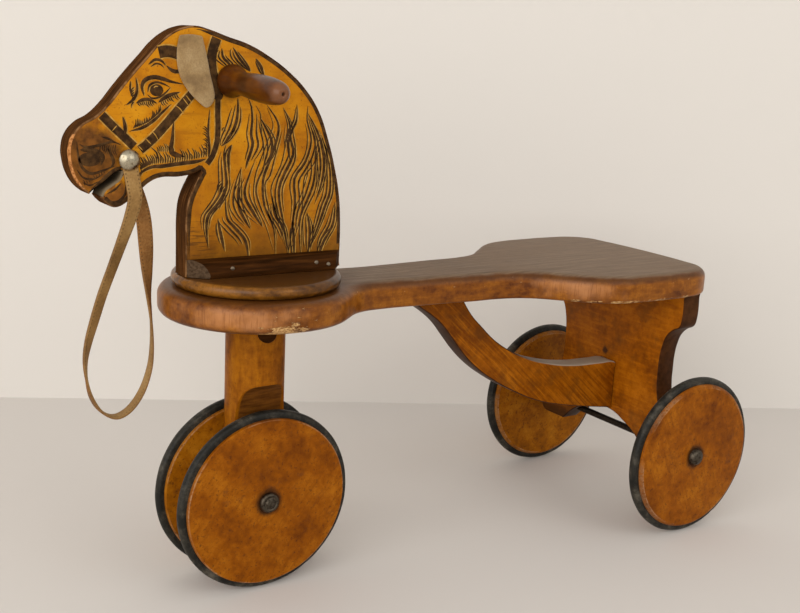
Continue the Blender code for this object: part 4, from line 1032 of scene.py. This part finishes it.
angle = np.linspace(0, math.pi / 2, 17)
scoop_heights = SCOOP_LOW + SCOOP_RISE * np.sin(angle)
scoop_half = BOARD_HALF + SCOOP_DEPTH * (1 - np.cos(angle))
scoop_top = SCOOP_LOW + SCOOP_RISE
heights = np.concatenate([
    [POST_FOOT, POST_FOOT + POST_CHAMFER], np.linspace(52, 128, 12), scoop_heights,
    [scoop_top + 0.02, scoop_top + 0.5], np.linspace(165, 207, 8), [POST_TOP - POST_CHAMFER, POST_TOP]])
half_at = np.interp(
    heights, np.concatenate([[0], scoop_heights, [scoop_top + 0.01, 300]]),
    np.concatenate([[BOARD_HALF], scoop_half, [40, 40]]))    # 40 is past the post's radius
chamfer = np.interp(
    heights, (POST_FOOT, POST_FOOT + POST_CHAMFER, POST_TOP - POST_CHAMFER, POST_TOP),
    (POST_CHAMFER, 0, 0, POST_CHAMFER))
radius = POST_RADIUS - chamfer
meets = np.arcsin(np.clip(half_at / radius, 0, 1))[:, None]    # where the flat meets the round
quadrant = np.concatenate([
    meets * np.linspace(0, 1, 12, endpoint=False)[None],
    meets + (math.pi / 2 - meets) * np.linspace(0, 1, 8, endpoint=False)[None]], 1)
angle = np.concatenate([quadrant, math.pi - quadrant[:, ::-1]], 1)
angle = np.concatenate([angle, angle + math.pi], 1)
sine = np.maximum(np.abs(np.sin(angle)), 1e-9)
reach = np.minimum(radius[:, None], (half_at - chamfer)[:, None] / sine)
points = np.stack([
    POST_X + reach * np.cos(angle), reach * np.sin(angle),
    np.broadcast_to(heights[:, None], angle.shape)], -1)
scooped = (reach < radius[:, None] - 0.05) | (np.abs(np.sin(angle)) * POST_RADIUS > half_at[:, None] + 0.05)
post = make("post", points, capped(points), post_wood(), marks={"scoop": scooped}, crease=28)
fit(post, "steering", "honey_wood", "steering_post")


# Rear board: one sawn board, narrow in the middle, with orange shellac on its faces and dark stain on
# its edges. It carries the seat's rear and the axle, and an arch is cut between its two feet.
def sawn_wood(name, stretch, turn, streak_share, seed, painted_light):
    """Orange shellac over mottled wood with streaks along the turned grain, dark stain on the sawn edges,
    smudges and a small knot, grey dust where a mark says so, painted shade low down, and the colour scaled
    brighter as painted light."""
    finish, colour, height = stained_wood(
        name, (0.120, 0.030, 0.001), (0.235, 0.064, 0.001), (0.33, 0.100, 0.003), seed=seed)
    here = place(finish)
    grain = noise(place(finish, stretch, turn), 1, 5, 0.6)
    colour = blend(between(grain, 0.47, 0.62, 0.0, streak_share), colour, (0.125, 0.030, 0.001))
    colour = blend(between(grain, 0.34, 0.46, streak_share, 0.0), colour, (0.40, 0.125, 0.004))
    smudges = noise(here, 38, 5, 0.65)
    colour = blend(between(smudges, 0.50, 0.66, 0.0, 0.55), colour, (0.105, 0.034, 0.004))
    uneven = ragged(here, 250, 0.006)
    from_knot = node("VectorMath", "Value", {0: here, 1: KNOT_PLACE}, operation="DISTANCE")
    colour = blend(between(plus(from_knot, uneven), 0.0018, 0.0048, 0.9, 0.0), colour, (0.030, 0.012, 0.005))
    # Painted light: the colour is scaled brighter by a factor, so a board that the seat shades looks lit.
    colour = node("VectorMath", 0, {0: colour, "Scale": painted_light}, operation="SCALE")
    level = plus(coordinate(finish, "Z"), uneven)
    # Painted shade: darker low down, where the brace shades the far foot.
    colour = blend(between(level, 0.062, 0.080, 0.88, 0.0), colour, (0.050, 0.022, 0.008))
    dark_edge = tones(noise(here, 160, 4), (0.35, (0.012, 0.005, 0.002)), (0.65, (0.042, 0.017, 0.007)))
    colour = blend(between(mark(finish, "wall"), 0.3, 0.7, 0.0, 0.9), colour, dark_edge)
    colour = blend(mark(finish, "dusty"), colour, (0.46, 0.38, 0.29))
    return finished(finish, Base_Color=colour, Normal=bump(plus(height, grain), 0.00010))


def on_wall(skin):
    """1 on a board's side wall and 0 at the edges of its two faces."""
    rows = np.arange(len(skin))[:, None]
    return np.minimum(np.minimum(rows, rows[::-1]), 1)


BOARD_ROUND = 1.2
FOOT_RADIUS = 8.0
FOOT_MIDDLE = (79.5, 65)
BOARD_SIDE = (
    (83, 187), (81, 181), (74, 176.5), (68, 170.5), (64.2, 161), (62.2, 149), (62, 137), (62.4, 124),
    (64.5, 112.5), (68, 103.5), (74, 97), (81.5, 91.8))
ARCH_SIDE = ((40, 71.2), (24.7, 79), (12.5, 83.7))
ARCH_TOP = (0, 85)
KNOT_PLACE = ((AXLE_X + BOARD_HALF) * 0.001, -0.006, 0.1385)
foot_arc = np.radians(np.linspace(0, -90, 9))
foot = FOOT_MIDDLE + FOOT_RADIUS * np.stack([np.cos(foot_arc), np.sin(foot_arc)], 1)
half_board = knots(
    (0, ((83, POST_TOP),)), (1, BOARD_SIDE), (0, ((87.5, 86),)), (0, foot), (0, ((55.5, 57),)),
    (1, ARCH_SIDE))
ring = traced(np.vstack([half_board, knots((1, (ARCH_TOP,))), (half_board * (-1, 1, 1))[::-1]]), 6)
skin = board_skin(ring, BOARD_HALF, BOARD_ROUND, BOARD_ROUND, 4)
rear_board = make(
    "rear_board", np.stack([AXLE_X + skin[..., 2], skin[..., 0], skin[..., 1]], -1), capped(skin),
    sawn_wood("rear_board_wood", (150, 26, 260), (0, 0, 0), 0.3, 6.0, 1.32), marks={"wall": on_wall(skin)})
fit(rear_board, "frame", "honey_wood", "rear_leg_board")


# Brace: a sawn board that curves from the rear board up to the plank's underside, with its grain on
# the slant. A nail holds its foot, and hidden dowels hold its top.
BRACE_UPPER = (
    (12, 132), (29, 133), (60, 134.3), (90, 139.2), (120, 148.5), (150, 164.5), (168, 180), (181, 193))
BRACE_LOWER = (
    (231, 201.5), (219, 193.5), (208, 184), (198, 172.3), (186.5, 158.8), (173, 146), (154, 132.5),
    (129, 118.5), (102, 106.5), (71, 98), (40, 92))
GRAIN_SLANT = math.radians(-42)
brace_knots = knots(
    (0, ((9.8, 87), (9.8, 130.6))), (1, BRACE_UPPER), (0, ((192.5, POST_TOP), (242.5, POST_TOP))),
    (1, BRACE_LOWER))
brace_ring = traced(brace_knots, 7)
skin = board_skin(brace_ring, BOARD_HALF, BOARD_ROUND, BOARD_ROUND, 4)
along_ring = np.arange(len(brace_ring))
upper_side = (along_ring > 8) & (along_ring < 60)
dust = 0.85 * upper_side * np.clip((135 - brace_ring[:, 0]) / 50, 0, 1)
brace = make(
    "brace", stood_along(skin, AXLE_X), capped(skin),
    sawn_wood("brace_wood", (18, 300, 480), (0, GRAIN_SLANT, 0), 0.65, 9.0, 1.06),
    marks={"wall": on_wall(skin), "dusty": on_wall(skin) * dust})
fit(brace, "frame", "honey_wood", "curved_brace")


# Hidden and dark small woods: dowels and spindle are bare beech, and the post's cross peg is black
# with age.
def bare_wood():
    """Beech that never had a finish."""
    finish, colour, height = stained_wood(
        "bare_wood", (0.30, 0.18, 0.09), (0.46, 0.30, 0.16), (0.56, 0.39, 0.23), (300, 300, 30), 0.6)
    return finished(finish, Base_Color=colour, Normal=bump(height, 0.0001))


refinish(bare_wood(), "dowel", "steering_spindle")
refinish(cleat_stain, "post_cross_peg")


# Wheels: four turned discs of solid wood, shellacked, with a shoulder round the rim and a groove for
# the tyre. The face is mottled with age, rubbed lighter along its rim and grimy about the hub.
WHEEL_RADIUS, WHEEL_HALF = 64.5, 7.0
TYRE_RADIUS, TYRE_HALF = 70.0, 3.75
WHEEL_BORE, GROOVE_RADIUS = 3.35, 61.7
WHEELS = (("front_wheel", POST_X, 20.8, 1.0), ("rear_wheel", AXLE_X, 98.5, 3.0))    # x, y, shoulder
PAINTED_BRIGHTNESS = {"left": (1.08, 1.08, 1.08), "right": (1.38, 1.65, 2.2)}    # painted light: near wheels a little brighter, far wheels much brighter and yellower where the seat and board shade them


def wheel_wood(name, x, shoulder, seed, turn, painted_light):
    """Mottled orange shellac. The distance from the axle gives the thin rubbed rim, which comes and goes,
    the dusty shoulder and the dirty hub."""
    finish, colour, height = stained_wood(
        name, (0.105, 0.025, 0.001), (0.225, 0.060, 0.001), (0.34, 0.108, 0.004), blotch=36.0, seed=seed,
        spread=0.12)
    here = place(finish)
    grain = noise(place(finish, (40, 260, 330), (0, turn, 0)), 1, 5, 0.6)
    colour = blend(between(grain, 0.50, 0.68, 0.0, 0.45), colour, (0.150, 0.038, 0.001))
    # Painted light: the colour is scaled brighter, most of all on the far wheels.
    colour = node("VectorMath", 0, {0: colour, 1: painted_light}, operation="MULTIPLY")
    stain = noise(place(finish, shift=(seed, seed, 0)), 60, 8, 0.78)
    colour = blend(between(stain, 0.56, 0.70, 0.0, 0.60), colour, (0.105, 0.036, 0.012))
    out = off_line_across(here, x, TYRE_RADIUS)
    edge = 0.001 * (WHEEL_RADIUS - shoulder)
    patchy = between(noise(here, 30, 4), 0.40, 0.60, 0.0, 0.7)
    specks = between(noise(here, 380, 4, 0.65), 0.35, 0.62, 0.15, 0.9)
    dusty = times(between(out, edge, edge + 0.0012, 0.0, 0.2 * shoulder), patchy)
    colour = blend(times(dusty, specks), colour, (0.27, 0.19, 0.12))
    rim_line = between(positive(minus(out, edge + 0.0004)), 0.0001, 0.0007, 1.0, 0.0)
    colour = blend(times(times(rim_line, patchy), specks), colour, (0.42, 0.25, 0.13))
    fine = noise(here, 400, 3, 0.6)
    colour = blend(between(fine, 0.58, 0.68, 0.0, 0.65), colour, (0.080, 0.024, 0.005))
    hub = between(plus(out, ragged(here, 150, 0.005)), 0.0078, 0.0128, 0.9, 0.0)
    colour = blend(hub, colour, (0.024, 0.010, 0.004))
    return finished(finish, Base_Color=colour, Normal=bump(plus(height, grain), 0.00006))


def wheel_profile(shoulder):
    """Half the wheel's section, from its bore over the rounded shoulder down to the tyre's groove, and its
    mirror image."""
    lip = np.linspace(math.pi / 2, 0, 7)
    groove_half = TYRE_HALF + 0.3
    rise = min(shoulder, WHEEL_HALF - groove_half)
    rounded = np.stack([
        WHEEL_RADIUS - shoulder + shoulder * np.cos(lip), WHEEL_HALF - rise * (1 - np.sin(lip))], 1)
    half = np.vstack([
        [(WHEEL_BORE, WHEEL_HALF), (30, WHEEL_HALF)], rounded,
        [(WHEEL_RADIUS, groove_half - 0.01), (GROOVE_RADIUS, groove_half - 0.02)]])
    return np.vstack([half, (half * (1, -1))[::-1]])


for number, (name, x, y, shoulder) in enumerate(WHEELS):
    for side, sign in SIDES:
        points, faces = spun(wheel_profile(shoulder), (x, sign * y, TYRE_RADIUS), (0, 1, 0), 128, loop=True)
        grain_turn = math.radians(20 + 65 * number + 30 * sign)
        finish = wheel_wood(
            name + "_wood_" + side, x, shoulder, 3.0 + number * 5 + sign, grain_turn, PAINTED_BRIGHTNESS[side])
        wheel = make(name + "_disc_" + side, points, faces, finish, crease=50)
        fit(wheel, name + "_" + side + "_body", "wheel_wood", name + "_" + side)


# Tyres: strips of black rubber, perished and dusty. Each is bent round in its wheel's groove, where its
# two ends meet in a butt joint.
def old_rubber():
    """Black rubber with dust in patches and fine cracks."""
    finish = new_finish("tyre_rubber", specular=0.22)
    here = place(finish)
    dust = noise(here, 60, 6, 0.75)
    cracks = noise(here, 900, 3)
    colour = tones(
        dust, (0.44, (0.009, 0.0082, 0.006)), (0.55, (0.029, 0.025, 0.018)), (0.70, (0.098, 0.084, 0.062)))
    return finished(finish, Base_Color=colour, Normal=bump(cracks, 0.00016))


TYRE_SEAT = 62.0
TYRE_STEPS = 160
RUBBER_LOST = 0.18   # worn from the tread
JOINT_AT, JOINT_WIDTH, JOINT_DEPTH = 2.1, 0.02, 0.5    # the first two in radians round the tyre
rubber = old_rubber()
angle = np.linspace(math.pi / 2, -math.pi / 2, 13)
rounded = np.abs(np.cos(angle)) ** 0.7 * np.sign(np.cos(angle))
tread = np.stack([TYRE_RADIUS - TYRE_HALF + TYRE_HALF * rounded, TYRE_HALF * np.sin(angle)], 1)
tyre_profile = np.vstack([[(TYRE_SEAT, TYRE_HALF)], tread, [(TYRE_SEAT, -TYRE_HALF)]])
around = np.linspace(0, 2 * math.pi, TYRE_STEPS, endpoint=False)[:, None]
joint = JOINT_DEPTH * np.exp(-((around - JOINT_AT) / JOINT_WIDTH) ** 2)
ripple = 0.05 * np.sin(around * 7) + 0.04 * np.sin(around * 17 + 1)
for name, x, y, _ in WHEELS:
    for side, sign in SIDES:
        points, faces = spun(
            tyre_profile, (x, sign * y, TYRE_RADIUS), (0, 1, 0), TYRE_STEPS, loop=True)
        outward = (points - (x, 0, TYRE_RADIUS)) * (1, 0, 1)
        outer = np.clip((np.linalg.norm(outward, axis=-1) - 64) / 5, 0, 1)
        points = points - unit(outward) * (outer * (joint + RUBBER_LOST - ripple))[..., None]
        tyre = make(name.replace("wheel", "tyre_ring") + "_" + side, points, faces, rubber, crease=60)
        fit(tyre, name + "_" + side + "_body", "black_rubber", name.replace("wheel", "tyre") + "_" + side)


# Hub caps, washers and axles: dark steel. The caps are pushed over the axles' ends. The rear ones are
# domed, and the front ones are nearly flat with a pressed ring and a small boss.
REAR_DOME = through(((0, 5.0), (1.5, 4.95), (3.0, 4.7), (5.6, 3.6), (7.0, 1.9), (7.6, 0)), 24)
FRONT_DOME = through((
    (0, 3.6), (1.6, 3.6), (2.9, 3.5), (3.5, 3.0), (4.2, 2.55), (5.0, 2.6), (5.7, 2.95), (6.6, 2.8),
    (7.4, 2.0), (7.8, 0.9), (7.8, 0)), 40)
CAP_SOCKET = ((3.3, 0.0), (3.3, 2.3), (0, 2.3))    # the hollow that fits over the axle's end
CAPS = (    # end, dome, x, y and body
    ("rear", REAR_DOME, AXLE_X, 105.9, "frame"), ("front", FRONT_DOME, POST_X, 28.2, "steering"))
dark_steel = worn_metal("dark_steel", (0.085, 0.070, 0.052), (0.040, 0.031, 0.022), 0.42, 0.56, 0.000003)
axle_steel = worn_metal("axle_steel", (0.040, 0.030, 0.021), (0.026, 0.019, 0.013), 0.5, 0.56, 0.000003)
for side, sign in SIDES:
    for end, dome, x, y, body in CAPS:
        points, faces = spun(np.vstack([dome, CAP_SOCKET]), (x, sign * y, TYRE_RADIUS), (0, sign, 0), 40)
        cap = make(end + "_cap_" + side, points, faces, dark_steel, crease=40)
        fit(cap, body, "dark_steel", end + "_hub_cap_" + side)
refinish(axle_steel, "axle", "washer")


# Studio: a pale paper floor with a plain wall close behind the toy. The wall shows from its front only,
# and a large soft light from the toy's left gives the shadow.
def plain_paint(name, colour):
    """Matt paint in one colour."""
    return new_finish(name, roughness=0.95, specular=0.1, Base_Color=(*colour, 1.0))


def seen_from_front(finish):
    """Clear behind the faces' backs, so that the wall hides nothing from the far side."""
    shader, output = (finish.node_tree.nodes[name] for name in ("Principled BSDF", "Material Output"))
    clear = node("BsdfTransparent", finish=finish)
    behind = node("NewGeometry", "Backfacing", finish=finish)
    shown = node("MixShader", inputs={0: behind, 1: shader.outputs[0], 2: clear})
    finish.node_tree.links.new(shown, output.inputs[0])
    return finish


WALL_LINE = np.array(((200, -505.4, 0), (-600, -90.8, 0)))    # two points where it meets the floor
WALL_HALF, WALL_HEIGHT = 3000.0, 3000.0
FLOOR_HALF = 6000.0
middle, along = WALL_LINE.mean(0), unit(WALL_LINE[1] - WALL_LINE[0])
start, end = middle - along * WALL_HALF, middle + along * WALL_HALF
up = (0, 0, WALL_HEIGHT)
floor = make(
    "floor", np.array(((-1, -1, 0), (1, -1, 0), (1, 1, 0), (-1, 1, 0))) * FLOOR_HALF, [[0, 1, 2, 3]],
    plain_paint("floor_paint", (0.68, 0.64, 0.60)), closed=False)
wall = make(
    "wall", np.stack([start, end, end + up, start + up]), [[0, 1, 2, 3]],
    seen_from_front(plain_paint("wall_paint", (0.72, 0.685, 0.64))), closed=False)


def soft_box(name, place, aim, size, power):
    """A rectangular soft light, slightly warm."""
    lamp = bpy.data.lights.new(name, "AREA")
    lamp.shape = "RECTANGLE"
    lamp.size, lamp.size_y = size
    lamp.energy = power
    lamp.color = (1.0, 0.98, 0.95)
    made = bpy.data.objects.new(name, lamp)
    made.location = place
    made.rotation_euler = (Vector(aim) - Vector(place)).to_track_quat("-Z", "Y").to_euler()
    bpy.context.scene.collection.objects.link(made)


soft_box("key_light", (2.45, 1.6, 1.25), (0, 0, 0.15), (3.4, 2.2), 60)
soft_box("fill_light", (-0.5, 1.7, 1.2), (-0.1, 0, 0.15), (1.2, 1.2), 6)
world = bpy.data.worlds.new("room")
bpy.context.scene.world = world
world.use_nodes = True
world.node_tree.nodes["Background"].inputs[0].default_value = (1.0, 0.985, 0.96, 1.0)
world.node_tree.nodes["Background"].inputs[1].default_value = 0.71
bpy.context.scene.view_settings.view_transform = "Standard"
